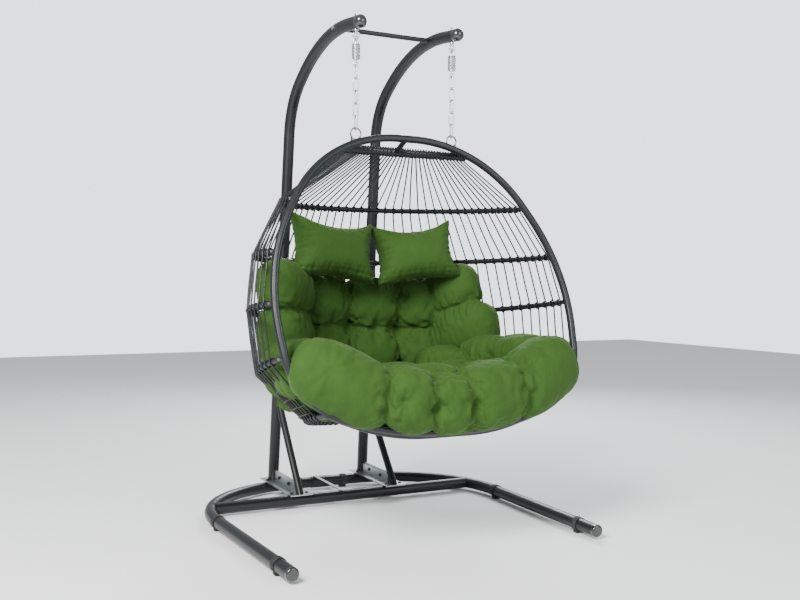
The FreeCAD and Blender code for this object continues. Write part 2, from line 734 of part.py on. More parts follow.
def make_canes(wires, pan):
    order = [(wires["top_hoop"], top_hoop_wrap_r)]
    order += [(wires["hoop_%d" % i], hoop_wrap_r) for i in (1, 2, 3, 4)]
    order.append((pan, pan_ring_r))
    count = 2 * canes_per_side + 1
    for row in range(5):
        upper_wire, upper_r = order[row]
        lower_wire, lower_r = order[row + 1]
        rods = []
        upper_places = row_points(upper_wire, count, cane_shares[row])
        lower_places = row_points(lower_wire, count, cane_shares[row + 1])
        for a, b in zip(upper_places, lower_places):
            rods.append(cane(a[0], a[1], upper_r, b[0], b[1], lower_r))
        export("cane_row_%d" % (row + 1), *rods)


# ---- cushions ----
def d_outline(half_width, front, depth, z, tilt):
    """D-shaped outline: straight front, round back."""
    points = [V(half_width * 0.55, front, 0), V(half_width * 1.02, front + 0.12 * depth, 0),
              V(half_width * 1.02, front + 0.62 * depth, 0), V(half_width * 0.62, front + depth, 0)]
    other = [V(-p.x, p.y, 0) for p in reversed(points)]
    middle = V(0, front, 0)
    outline = [middle] + points + other + [middle]
    lifted = [V(p.x, p.y, z - (p.y - front) * math.tan(math.radians(tilt))) for p in outline]
    return bent_wire(lifted)


def make_cushions(pan):
    roll_half = [rim_point(x, w, -roll_forward) for x, w in roll_path]
    roll_points = [V(-p.x, p.y, p.z) for p in reversed(roll_half[1:])] + roll_half[1:]
    roll_wire = bent_wire(roll_points)
    roll = bar(roll_wire, roll_r)
    for tip in (roll_points[0], roll_points[-1]):
        roll = roll.fuse(Part.makeSphere(roll_r, tip))
    pan_front = rim_point(0, pan_w)
    slab_z = pan_front.z - (seat_front - pan_front.y) * math.tan(math.radians(pan_tilt)) + seat_lift
    low = d_outline(seat_low_half_width, seat_front, seat_low_depth, slab_z, pan_tilt)
    high = d_outline(seat_top_half_width, seat_front - 30.0, seat_top_depth, slab_z + seat_thickness, seat_top_tilt)
    slab = Part.makeLoft([low, high], True, False)
    seat = slab.fuse(roll).removeSplitter()
    rim_room = bar(rim_half(), rim_wrap_r + cushion_gap)
    seat = seat.cut(rim_room).cut(mirrored(rim_room)).cut(bar(seat_front_wire(), front_tube_r + cushion_gap))
    seat = seat.cut(bar(pan, pan_ring_r + cushion_gap))
    seat = max(seat.Solids, key=lambda s: s.Volume)
    export("seat_cushion", seat)
    low = back_band(back_low_half_width, back_low_y, back_low_z, back_low_front)
    high = back_band(back_top_half_width, back_top_y, back_top_z, back_top_front)
    back = Part.makeLoft([low, high], True, False)
    seat_room = seat.copy()
    seat_room.translate(V(0, 0, cushion_gap))
    back = back.cut(seat).cut(seat_room)
    back = max(back.Solids, key=lambda s: s.Volume)
    export("back_cushion", back)
    pillows = []
    for side in sides.values():
        box = Part.makeBox(pillow_width, pillow_thickness, pillow_height,
                           V(-pillow_width / 2, -pillow_thickness / 2, -pillow_height / 2))
        box = box.makeFillet(pillow_thickness * 0.42, box.Edges)
        box.rotate(V(0, 0, 0), V(1, 0, 0), -pillow_lean)
        box.rotate(V(0, 0, 0), V(0, 0, 1), -6.0 * side)
        box.translate(V(side * pillow_x, pillow_y, pillow_z))
        pillows.append(box)
    export("head_pillow_left", pillows[0])
    export("head_pillow_right", pillows[1])


def back_band(half_width, back, z, front):
    """Crescent outline of the back cushion at one height, wings reaching forward."""
    outer = [V(half_width, front, z), V(half_width, front + 0.38 * (back - front), z), V(half_width * 0.52, back, z)]
    inner_half = half_width - back_thickness
    inner_back = back - back_thickness
    inner = [V(inner_half, front, z), V(inner_half * 0.98, front + 0.36 * (inner_back - front), z),
             V(inner_half * 0.52, inner_back, z)]
    outer_all = [V(-p.x, p.y, p.z) for p in outer] + list(reversed(outer))
    inner_all = list(inner) + [V(-p.x, p.y, p.z) for p in reversed(inner)]
    edges = list(bent_wire(outer_all).OrderedEdges)
    edges.append(Part.LineSegment(outer_all[-1], inner_all[0]).toShape())
    edges += list(bent_wire(inner_all).OrderedEdges)
    edges.append(Part.LineSegment(inner_all[-1], outer_all[0]).toShape())
    return Part.Wire(Part.__sortEdges__(edges))


make_base()
make_brackets()
hang_height = make_arms()
rim_body = make_rim()
make_rim_eyes(rim_body)
ring_centre = rim_eye_place()[0]
gear = make_hanging_gear(hang_height, ring_centre.z + rim_eye_r)
hoop_wires = make_hoops(rim_body)
pan_path = make_pan(rim_body)
make_canes(hoop_wires, pan_path)
make_cushions(pan_path)
print("hang height", hang_height, "ring top", ring_centre.z + rim_eye_r, "spring top, chain top", gear)
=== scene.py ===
import math

import bpy
import numpy as np
from mathutils import Matrix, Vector
from bpy.props import FloatProperty, FloatVectorProperty, IntProperty, PointerProperty


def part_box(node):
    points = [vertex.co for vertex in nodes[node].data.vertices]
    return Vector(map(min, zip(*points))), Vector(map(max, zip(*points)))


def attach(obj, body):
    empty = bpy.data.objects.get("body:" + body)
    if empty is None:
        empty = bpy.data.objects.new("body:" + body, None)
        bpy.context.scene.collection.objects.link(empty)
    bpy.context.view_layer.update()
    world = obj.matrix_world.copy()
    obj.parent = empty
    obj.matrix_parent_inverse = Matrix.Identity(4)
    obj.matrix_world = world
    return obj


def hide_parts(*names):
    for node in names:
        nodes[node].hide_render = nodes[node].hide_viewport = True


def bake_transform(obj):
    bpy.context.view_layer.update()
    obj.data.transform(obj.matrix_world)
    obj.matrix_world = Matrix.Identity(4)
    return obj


bl_info = {
    "name": "Hanging Egg Chair",
    "version": (1, 0, 0),
    "blender": (4, 5, 0),
    "location": "3D View > Sidebar > Egg Chair",
    "description": "Rattan, cushions, springs and finishes of a two-seat hanging egg chair",
    "category": "Object",
}

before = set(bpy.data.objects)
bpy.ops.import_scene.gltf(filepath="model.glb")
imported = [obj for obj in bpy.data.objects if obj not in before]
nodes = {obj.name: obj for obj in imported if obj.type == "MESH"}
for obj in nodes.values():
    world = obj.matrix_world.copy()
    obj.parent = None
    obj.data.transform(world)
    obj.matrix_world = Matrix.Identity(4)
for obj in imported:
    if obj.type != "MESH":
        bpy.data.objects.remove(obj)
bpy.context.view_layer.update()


# ---- sizes and colours ----
def length(name, description, default):
    return FloatProperty(name=name, description=description, default=default, unit="LENGTH")


def colour(name, description, default):
    return FloatVectorProperty(name=name, description=description, default=default, subtype="COLOR")


class BasketSizes(bpy.types.PropertyGroup):
    """Lines of the steel basket and the rattan on it"""

    front: length("Rim foot", "Lowest point of the rim, along Y", -0.6045)
    floor: length("Rim height", "Lowest point of the rim above the floor", 0.440)
    lean: FloatProperty(name="Rim lean", description="How far the rim leans back per unit of height", default=0.35)
    rim_wrap: length("Rim wrap", "Radius over the rattan of the rim", 0.0145)
    hoop_wrap: length("Hoop wrap", "Radius over the rattan of a hoop", 0.0110)
    top_wrap: length("Top hoop wrap", "Radius over the strands of the top hoop", 0.0165)
    pan_wrap: length("Pan wrap", "Radius over the rattan of the pan ring", 0.0130)
    bare_end: length("Bare end", "Unwrapped end of each hoop", 0.0445)
    cane: length("Cane", "Radius of an upright strand", 0.0030)
    canes: IntProperty(name="Canes", description="Number of upright strands", default=45, min=5)


class CushionSizes(bpy.types.PropertyGroup):
    """Stuffing and stitching of the cushions"""

    voxel: length("Cloth mesh", "Spacing of the cloth's points", 0.0085)
    pressure: FloatProperty(name="Stuffing", description="Pressure of the filling", default=4.0)
    slack: FloatProperty(name="Slack", description="How much larger the cloth is than its filling", default=0.05)
    travel: length("Travel", "Furthest a point of cloth may move", 0.020)


class Colours(bpy.types.PropertyGroup):
    """Base colours of the finishes"""

    powder: colour("Powder coat", "Black powder coat", (0.0050, 0.0062, 0.0068))
    rattan: colour("Rattan", "Black rattan", (0.0055, 0.0070, 0.0078))
    fabric: colour("Fabric", "Green cushion fabric", (0.030, 0.074, 0.012))
    zinc: colour("Zinc", "Bright zinc plate", (0.62, 0.64, 0.66))
    floor: colour("Floor", "Pale studio floor", (0.93, 0.94, 0.94))


# The hanging line, which holds both eye bolts, along Y.  Cushion places are given from it.
HANGING_LINE = -0.2155
RIGHT = np.array([1.0, 0.0, 0.0])
ABOVE = np.array([0.0, 0.0, 1.0])
PAN_HEIGHT, PAN_TILT = 0.092, 11.5


def sizes():
    return bpy.context.scene.egg_basket


# ---- shader maths ----
class Socket:
    """An output socket; arithmetic on it adds Math nodes."""

    def __init__(self, finish, socket):
        self.finish = finish
        self.socket = socket

    def math(self, operation, first, second=0.0):
        return self.finish.make("ShaderNodeMath", {"operation": operation}, {0: first, 1: second})

    def __add__(self, other):
        return self.math("ADD", self, other)

    def __radd__(self, other):
        return self.math("ADD", other, self)

    def __sub__(self, other):
        return self.math("SUBTRACT", self, other)

    def __rsub__(self, other):
        return self.math("SUBTRACT", other, self)

    def __mul__(self, other):
        return self.math("MULTIPLY", self, other)

    def __rmul__(self, other):
        return self.math("MULTIPLY", other, self)

    def sine(self):
        return self.math("SINE", self)


class Finish:
    """A material on one Principled shader; constants sit on the shader's own sockets."""

    def __init__(self, name, colour, constants):
        self.material = bpy.data.materials.new(name)
        self.material.use_nodes = True
        self.tree = self.material.node_tree
        self.shader = self.tree.nodes["Principled BSDF"]
        self.shader.inputs["Base Color"].default_value = (*colour, 1.0)
        for socket, value in constants.items():
            self.shader.inputs[socket].default_value = value
        self.material.diffuse_color = (*colour, 1.0)

    def make(self, kind, settings=None, sockets=None, output=0):
        """One node: settings first, then the values or links of its sockets."""
        node = self.tree.nodes.new(kind)
        for name, value in (settings or {}).items():
            if name == "stops":
                for element, (place, shade) in zip(node.color_ramp.elements, value):
                    element.position = place
                    element.color = (shade, shade, shade, 1.0)
            else:
                setattr(node, name, value)
        for name, value in (sockets or {}).items():
            if isinstance(value, Socket):
                self.tree.links.new(value.socket, node.inputs[name])
            else:
                node.inputs[name].default_value = value
        return Socket(self, node.outputs[output])

    def feed(self, name, value):
        self.tree.links.new(value.socket, self.shader.inputs[name])

    def place(self, scale=(1.0, 1.0, 1.0), coordinates="Object"):
        here = self.make("ShaderNodeTexCoord", output=coordinates)
        return self.make("ShaderNodeMapping", sockets={"Vector": here, "Scale": scale})

    def noise(self, grain, detail=2.0, stretch=(1.0, 1.0, 1.0), coordinates="Object"):
        """Cloudy noise from 0 to 1; grain is the size of a cloud in metres."""
        scale = tuple(s / grain for s in stretch)
        return self.make("ShaderNodeTexNoise", None,
                         {"Vector": self.place(scale, coordinates), "Scale": 1.0, "Detail": detail})

    def ramp(self, factor, low, high, first=0.0, last=1.0):
        return self.make("ShaderNodeValToRGB", {"stops": ((low, first), (high, last))}, {0: factor})

    def blend(self, factor, first, second):
        """Colour that goes from first to second as factor goes from 0 to 1."""
        return self.make("ShaderNodeMix", {"data_type": "RGBA"},
                         {0: factor, 6: (*first, 1.0) if isinstance(first, tuple) else first,
                          7: (*second, 1.0) if isinstance(second, tuple) else second}, output=2)

    def bump(self, height, depth, strength=1.0, below=None):
        sockets = {"Height": height, "Distance": depth, "Strength": strength}
        if below is not None:
            sockets["Normal"] = below
        return self.make("ShaderNodeBump", None, sockets)

    def axes(self, vector):
        split = self.make("ShaderNodeSeparateXYZ", None, {0: vector})
        outputs = split.socket.node.outputs
        return Socket(self, outputs[0]), Socket(self, outputs[1]), Socket(self, outputs[2])


def shade(colour, factor):
    return tuple(min(1.0, c * factor) for c in colour)


def powder_coat(name="Black powder coat", colour=None, roughness=0.36):
    """Satin coat: a fine orange-peel bump, and patches a little duller and paler."""
    colour = tuple(colour or bpy.context.scene.egg_colours.powder)
    finish = Finish(name, colour, {"Specular IOR Level": 0.42})
    clouds = finish.noise(0.09, 3.0)
    dust = finish.noise(0.006, 2.0)
    finish.feed("Base Color", finish.blend(clouds, shade(colour, 0.75), shade(colour, 1.5)))
    finish.feed("Roughness", roughness - 0.07 + 0.14 * clouds + 0.05 * dust)
    finish.feed("Normal", finish.bump(finish.noise(0.0022, 1.0), 0.0001, 0.35))
    return finish.material


def rattan(name, colour=None, roughness=0.40, streak=0.0016):
    """Extruded strip: streaks along its length on the piece's own map, and a waxy half gloss."""
    colour = tuple(colour or bpy.context.scene.egg_colours.rattan)
    finish = Finish(name, colour, {"Specular IOR Level": 0.38})
    streaks = finish.noise(streak, 2.0, (0.04, 1.0, 1.0), "UV")
    clouds = finish.noise(0.05, 3.0)
    tone = streaks * 0.65 + clouds * 0.45
    finish.feed("Base Color", finish.blend(tone, shade(colour, 0.45), shade(colour, 2.1)))
    finish.feed("Roughness", roughness - 0.10 + 0.22 * streaks)
    finish.feed("Normal", finish.bump(streaks, 0.0004, 0.5))
    return finish.material


def woven_fabric(name="Green woven fabric", tint=1.0):
    """Plain weave: threads cross every 1.5 mm, their crowns painted lighter and the hollows between them painted
    darker (painted highlight and painted shade); long soft clouds where the cloth is rubbed or creased.
    """
    colour = shade(tuple(bpy.context.scene.egg_colours.fabric), tint)
    finish = Finish(name, colour, {"Specular IOR Level": 0.12, "Sheen Weight": 0.10, "Sheen Roughness": 0.45,
                                   "Sheen Tint": (0.55, 0.75, 0.30, 1.0)})
    x, y, z = finish.axes(finish.place((4200.0, 4200.0, 4200.0)))
    weave_relief_and_shade = (x.sine() + y.sine() + z.sine()) * 0.16 + 0.5
    clouds = finish.noise(0.060, 4.0)
    lint = finish.noise(0.0040, 2.0)
    # the weave term follows the weave's bump height: painted highlight on the thread crowns, painted shade in the
    # hollows between threads
    tone = clouds * 0.62 + weave_relief_and_shade * 0.22 + lint * 0.16
    finish.feed("Base Color", finish.blend(tone, shade(colour, 0.72), shade(colour, 1.28)))
    finish.feed("Roughness", 0.70 + 0.18 * lint)
    creases = finish.noise(0.030, 3.0, (1.0, 1.0, 0.55))
    soft = finish.bump(creases, 0.006, 0.45)
    finish.feed("Normal", finish.bump(weave_relief_and_shade * 0.6 + lint * 0.4, 0.0006, 0.5, soft))
    return finish.material


def plated(name, colour, roughness, spots=0.012):
    """Plated steel: clear metal with dull spots and fine drawing marks."""
    finish = Finish(name, colour, {"Metallic": 1.0})
    dull = finish.noise(spots, 3.0)
    marks = finish.noise(0.0009, 1.0, (1.0, 1.0, 0.15))
    finish.feed("Base Color", finish.blend(dull, shade(colour, 0.72), shade(colour, 1.18)))
    finish.feed("Roughness", roughness - 0.08 + 0.20 * dull)
    finish.feed("Normal", finish.bump(marks, 0.0002, 0.35))
    return finish.material


def moulded_plastic(name="Glossy black plastic"):
    """Moulded cap: deep gloss with faint flow marks."""
    finish = Finish(name, (0.011, 0.012, 0.013),
                    {"Specular IOR Level": 0.65, "Coat Weight": 0.5, "Coat Roughness": 0.06})
    flow = finish.noise(0.030, 2.0)
    finish.feed("Roughness", 0.12 + 0.14 * flow)
    finish.feed("Base Color", finish.blend(flow, (0.008, 0.009, 0.010), (0.020, 0.022, 0.024)))
    finish.feed("Normal", finish.bump(finish.noise(0.004, 1.0), 0.0001, 0.3))
    return finish.material


def rubber(name="Black foot rubber"):
    """Foot strap: matt, with a pebbled skin and grey scuffs."""
    finish = Finish(name, (0.018, 0.018, 0.019), {"Specular IOR Level": 0.35})
    scuffs = finish.noise(0.018, 4.0)
    worn = finish.ramp(scuffs, 0.45, 0.75)
    finish.feed("Base Color", finish.blend(worn, (0.014, 0.014, 0.015), (0.055, 0.055, 0.056)))
    finish.feed("Roughness", 0.62 + 0.25 * scuffs)
    finish.feed("Normal", finish.bump(finish.noise(0.0016, 1.0), 0.0003, 0.6))
    return finish.material


def studio_floor():
    colour = tuple(bpy.context.scene.egg_colours.floor)
    finish = Finish("Pale studio floor", colour, {"Specular IOR Level": 0.2})
    clouds = finish.noise(0.8, 2.0)
    finish.feed("Base Color", finish.blend(clouds, shade(colour, 0.985), colour))
    finish.feed("Roughness", 0.72 + 0.1 * clouds)
    return finish.material


# ---- lines ----
def unit(vectors):
    return vectors / np.linalg.norm(vectors, axis=-1, keepdims=True)


def even(points, count):
    """The same line with count points at equal distances along it."""
    runs = np.linalg.norm(np.diff(points, axis=0), axis=1)
    along = np.concatenate([[0.0], np.cumsum(runs)])
    places = np.linspace(0.0, along[-1], count)
    return np.stack([np.interp(places, along, points[:, k]) for k in range(3)], axis=1)


def bent(corners, count):
    """Line of a bent tube: straight runs joined by arcs that touch both runs.

    An arc starts from its corner at the length of the shorter run beside it, where an inner
    run counts half because it is shared by two arcs.
    """
    corners = np.asarray(corners, float)
    pieces = [corners[:1]]
    last = len(corners) - 2
    turn = np.linspace(0.0, 1.0, 60)[:, None]
    for k in range(1, last + 1):
        before, after = corners[k - 1] - corners[k], corners[k + 1] - corners[k]
        reach = min(np.linalg.norm(before) * (1.0 if k == 1 else 0.5),
                    np.linalg.norm(after) * (1.0 if k == last else 0.5))
        before, after = unit(before), unit(after)
        half = 0.5 * math.acos(float(before @ after))
        centre = corners[k] + unit(before + after) * (reach / math.cos(half))
        swept = math.pi - 2.0 * half
        first, second = corners[k] + before * reach - centre, corners[k] + after * reach - centre
        arc = (first * np.sin((1.0 - turn) * swept) + second * np.sin(turn * swept)) / math.sin(swept)
        pieces.append(centre + arc)
    pieces.append(corners[-1:])
    line = np.concatenate(pieces)
    keep = np.concatenate([[True], np.linalg.norm(np.diff(line, axis=0), axis=1) > 1e-6])
    return even(line[keep], count)


def rim_axes():
    lean = sizes().lean
    return unit(np.array([0.0, lean, 1.0])), unit(np.array([0.0, 1.0, -lean]))


def on_rim(flat):
    """Points given across, up along and back from the leaning plane of the rim."""
    up, back = rim_axes()
    flat = np.atleast_2d(np.asarray(flat, float))
    foot = np.array([0.0, sizes().front, sizes().floor])
    return foot + flat[:, :1] * RIGHT + flat[:, 1:2] * up + flat[:, 2:] * back


def both_sides(half):
    """Adds the mirror image of a line that starts at the left or right, so that it runs side to side."""
    half = np.asarray(half, float)
    return np.concatenate([half, half[::-1] * np.array([-1.0, 1.0, 1.0])])


def rim_half(count=900):
    """Right half of the rim's middle line; its corners are given across and up along the leaning plane."""
    corners = ((0, .007), (.236, .007), (.572, .130), (.6236, .6132), (.3342, 1.135), (0, 1.135))
    return bent(on_rim([(across, height, 0.0) for across, height in corners]), count)


def rim_loop(count):
    half = rim_half()
    other = half[-2:0:-1] * np.array([-1.0, 1.0, 1.0])
    loop = np.concatenate([half, other, half[:1]])
    return even(loop, count + 1)[:-1]


def rim_half_width(height):
    half = rim_half()
    up, _ = rim_axes()
    heights = (half - on_rim([0, 0, 0])) @ up
    outer = half[:, 0] > 0.005
    return float(half[outer][np.argmin(np.abs(heights[outer] - height)), 0])


def tilted(height, degrees, half):
    """Line in a plane that starts on the rim at a height and falls backwards by some degrees."""
    half = np.asarray(half, float)
    fall = math.radians(degrees)
    start = on_rim([0, height, 0])[0]
    back = np.array([0.0, math.cos(fall), -math.sin(fall)])
    return both_sides(start + half[:, :1] * RIGHT + half[:, 1:] * back)


def hoop_line(number, count=1200):
    """Hoop 1 to 4 from the top: leaves the rim, swells to its widest and closes round the back."""
    height, degrees, widest, depth = {1: (.866, -1.5, .467, .580), 2: (.666, 1.8, .585, .725),
                                      3: (.480, 6.0, .620, .785), 4: (.290, 13.0, .608, .780)}[number]
    half = [(rim_half_width(height), 0.0), (widest * 1.045, depth * 0.372), (widest * 0.53, depth)]
    return bent(tilted(height, degrees, half), count)


def pan_line(count=1200):
    """Middle line of the pan ring: widest half width and depth, with shares that set the two corners."""
    widest, depth = 0.452, 0.590
    half = [(rim_half_width(PAN_HEIGHT), 0.0), (widest * 1.07, depth * 0.30), (widest * 0.60, depth)]
    return bent(tilted(PAN_HEIGHT, PAN_TILT, half), count)


def top_line(count=900):
    """Top hoop: from the rim back over its depth and up by its rise."""
    depth, rise = 0.112, 0.013
    end = on_rim([0.2756, 1.077, 0.0])[0]
    return bent(both_sides([end, (end[0] * 0.72, end[1] + depth, end[2] + rise)]), count)


def beyond_rim(line, depth):
    """The part of a line that lies further behind the rim's plane than depth."""
    _, back = rim_axes()
    behind = (line - on_rim([0, 0, 0])) @ back
    return line[behind > depth]


# ---- surfaces ----
def shell(points, quads, triangles=None, quad_uv=None, triangle_uv=None):
    triangles = np.zeros((0, 3), int) if triangles is None else triangles
    return {"points": points, "quads": quads, "triangles": triangles, "quad_uv": quad_uv, "triangle_uv": triangle_uv}


def grid_quads(number):
    """Quads of a grid whose point numbers stand in a table."""
    corners = [number[:-1, :-1], number[1:, :-1], number[1:, 1:], number[:-1, 1:]]
    return np.stack(corners, axis=-1).reshape(-1, 4)


def together(shells):
    """Several shells as one, their faces renumbered."""
    starts = np.cumsum([0] + [len(s["points"]) for s in shells])
    joined = shell(np.concatenate([s["points"] for s in shells]),
                   np.concatenate([s["quads"] + start for s, start in zip(shells, starts)]),
                   np.concatenate([s["triangles"] + start for s, start in zip(shells, starts)]))
    if all(s["quad_uv"] is not None for s in shells):
        joined["quad_uv"] = np.concatenate([s["quad_uv"] for s in shells])
        joined["triangle_uv"] = np.concatenate([s["triangle_uv"] for s in shells])
    return joined


def piece(name, skin, smooth=True):
    """Mesh object at the origin from a shell."""
    quads, triangles = skin["quads"], skin["triangles"]
    mesh = bpy.data.meshes.new(name)
    mesh.vertices.add(len(skin["points"]))
    mesh.vertices.foreach_set("co", np.asarray(skin["points"], np.float32).ravel())
    corners = np.concatenate([quads.ravel(), triangles.ravel()]).astype(np.int32)
    mesh.loops.add(len(corners))
    mesh.loops.foreach_set("vertex_index", corners)
    totals = np.concatenate([np.full(len(quads), 4), np.full(len(triangles), 3)]).astype(np.int32)
    mesh.polygons.add(len(totals))
    mesh.polygons.foreach_set("loop_start", (np.cumsum(totals) - totals).astype(np.int32))
    mesh.polygons.foreach_set("use_smooth", np.full(len(totals), smooth))
    if skin["quad_uv"] is not None:
        layer = mesh.uv_layers.new(name="Length and girth")
        uv = np.concatenate([skin["quad_uv"].reshape(-1, 2), skin["triangle_uv"].reshape(-1, 2)])
        layer.data.foreach_set("uv", uv.astype(np.float32).ravel())
    mesh.update(calc_edges=True)
    mesh.validate()
    made = bpy.data.objects.new(name, mesh)
    bpy.context.scene.collection.objects.link(made)
    return made


def rods(lines, side, radius, around, closed=False):
    """Skins of rods that all have the same number of points.

    Every point of a line carries a ring: the radius for its length and angle, times the
    cosine of the angle along side (made square to the line) and the sine along the third
    direction.  Open rods are closed by a fan at each end.
    """
    lines = np.asarray(lines, float)
    count, length = lines.shape[:2]
    if closed:
        tangent = np.roll(lines, -1, axis=1) - np.roll(lines, 1, axis=1)
    else:
        tangent = np.gradient(lines, axis=1)
    tangent = unit(tangent)
    side = np.broadcast_to(np.asarray(side, float), lines.shape)
    normal = unit(side - (side * tangent).sum(-1, keepdims=True) * tangent)
    third = np.cross(tangent, normal)
    runs = np.linalg.norm(np.diff(lines, axis=1), axis=2)
    along = np.concatenate([np.zeros((count, 1)), np.cumsum(runs, axis=1)], axis=1)
    angle = 2.0 * math.pi * np.arange(around + 1) / around
    girth = np.full((1, 1, 1), radius) if not callable(radius) else radius(along[:, :, None], angle[None, None, :-1])
    girth = np.broadcast_to(girth, (count, length, around))
    cosine, sine = np.cos(angle[:-1])[:, None], np.sin(angle[:-1])[:, None]
    ring = cosine * normal[:, :, None] + sine * third[:, :, None]
    points = lines[:, :, None] + girth[..., None] * ring
    rows = np.arange(length if closed else length - 1)[:, None]
    columns = np.arange(around)[None, :]
    next_row, next_column = (rows + 1) % length, (columns + 1) % around
    one = np.stack([rows * around + columns, rows * around + next_column,
                    next_row * around + next_column, next_row * around + columns], axis=-1).reshape(-1, 4)
    offsets = np.arange(count) * length * around
    quads = (one[None] + offsets[:, None, None]).reshape(-1, 4)
    mean = float(girth.mean())
    closing = along[:, -1:] + np.linalg.norm(lines[:, :1] - lines[:, -1:], axis=2)
    extended = np.concatenate([along, closing], axis=1)
    here, there = extended[:, rows[:, 0]], extended[:, rows[:, 0] + 1]
    u = np.stack([here, here, there, there], axis=-1)[:, :, None].repeat(around, axis=2)
    v = np.stack([angle[:-1], angle[1:], angle[1:], angle[:-1]], axis=-1)[None, None] * mean
    quad_uv = np.stack([u, np.broadcast_to(v, u.shape)], axis=-1).reshape(-1, 4, 2)
    flat = points.reshape(-1, 3)
    if closed:
        return shell(flat, quads, None, quad_uv, np.zeros((0, 3, 2)))
    total = len(flat)
    ends = np.concatenate([lines[:, 0], lines[:, -1]])
    ring_ids = np.arange(around)
    first = offsets[:, None] + ring_ids
    last = first + (length - 1) * around
    first_pole = (total + np.arange(count))[:, None] + np.zeros_like(first)
    last_pole = first_pole + count
    start_fan = np.stack([first_pole, np.roll(first, -1, axis=1), first], axis=-1).reshape(-1, 3)
    end_fan = np.stack([last_pole, last, np.roll(last, -1, axis=1)], axis=-1).reshape(-1, 3)
    triangles = np.concatenate([start_fan, end_fan])
    return shell(np.concatenate([flat, ends]), quads, triangles, quad_uv, np.zeros((len(triangles), 3, 2)))


def paint(thing, material):
    if thing.data.materials:
        for slot in thing.material_slots:
            slot.material = material
    else:
        thing.data.materials.append(material)
    return thing


def finished(thing, material, body="basket", replaced=()):
    """Gives a piece its finish, the body it moves with and the nodes it stands for."""
    paint(thing, material)
    if body:
        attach(thing, body)
    if replaced:
        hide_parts(*replaced)
    return thing


# ---- rattan ----
class EGG_OT_rim_rattan(bpy.types.Operator):
    """Rattan on the rim: eight lengthwise strips, and a twisted cord in a groove at the front and back"""

    bl_idname = "egg.rim_rattan"
    bl_label = "Rim rattan"

    def execute(self, context):
        wrap = sizes().rim_wrap
        _, back = rim_axes()

        def strips(along, angle):
            """Radius rises in eight rounded strips, with a shallow slanting winding every 7 mm."""
            lobes = np.abs(np.cos(4.0 * angle)) ** 0.7
            winding = np.sin(2.0 * math.pi * along / 0.0072 + 2.0 * angle)
            return wrap - 0.0013 * (1.0 - lobes) + 0.00028 * winding

        def twisted(along, angle):
            """Cord with a twist every 6.6 mm."""
            return 0.0014 * (1.0 + 0.35 * np.sin(2.0 * math.pi * along / 0.0066 + angle))

        skin = rods(rim_loop(1500)[None], back, strips, 32, closed=True)
        material = rattan("Rim rattan", roughness=0.34, streak=0.0030)
        finished(piece("rim_rattan", skin), material, replaced=["rim_wrap"])
        line = rim_loop(2600)
        tangent = unit(np.roll(line, -1, axis=0) - np.roll(line, 1, axis=0))
        third = np.cross(tangent, back)
        cords = []
        for angle in (math.radians(157.5), math.radians(22.5)):
            offset = (wrap - 0.0010) * (math.cos(angle) * back + math.sin(angle) * third)
            cords.append(rods((line + offset)[None], back, twisted, 6, closed=True))
        paler = shade(tuple(context.scene.egg_colours.rattan), 3.2)
        cord_material = rattan("Groove cord", paler, 0.34, 0.0008)
        finished(piece("rim_groove_cords", together(cords)), cord_material)
        return {"FINISHED"}


class EGG_OT_hoop_rattan(bpy.types.Operator):
    """Rattan wound round the four hoops and the pan ring, one turn beside the next"""

    bl_idname = "egg.hoop_rattan"
    bl_label = "Hoop rattan"

    def execute(self, context):
        material = rattan("Hoop rattan", roughness=0.38)
        wrap = sizes().hoop_wrap

        def windings(radius, pitch, depth, wobble=0.0):
            """Radius falls to a groove between turns, which lie a pitch apart and slant once round."""
            def at(along, angle):
                turns = along / pitch - angle / (2.0 * math.pi)
                crown = np.abs(np.sin(math.pi * turns)) ** 0.6
                uneven = wobble * np.sin(2.0 * math.pi * along / 0.043 + 1.7 * np.sin(along * 61.0))
                return radius - depth * (1.0 - crown) + uneven
            return at

        for number in (1, 2, 3, 4):
            line = beyond_rim(hoop_line(number, 2400), sizes().bare_end)
            line = even(line, 1500)
            skin = rods(line[None], ABOVE, windings(wrap, 0.0062, 0.0008, 0.0002), 14)
            finished(piece("hoop_%d_rattan" % number, skin), material,
                     replaced=["hoop_%d_wrap" % number])
        line = even(beyond_rim(pan_line(2400), 0.016), 900)
        skin = rods(line[None], ABOVE, windings(sizes().pan_wrap, 0.0085, 0.0013, 0.0004), 16)
        finished(piece("pan_ring_rattan", skin), material, replaced=["pan_ring"])
        top = sizes().top_wrap
        line = even(beyond_rim(top_line(2400), 0.018), 1100)

        def coils(along, angle):
            """Strands coiled twice: narrow turns, and a second layer that slants the other way."""
            under = np.abs(np.sin(math.pi * (along / 0.0052 - angle / (2.0 * math.pi))))
            over = np.sin(2.0 * math.pi * along / 0.019 + angle + 2.0 * np.sin(along * 37.0))
            return top - 0.0016 * (1.0 - under) + 0.0011 * over
        skin = rods(line[None], ABOVE, coils, 18)
        finished(piece("top_hoop_coils", skin), material, replaced=["top_hoop_wrap"])
        return {"FINISHED"}


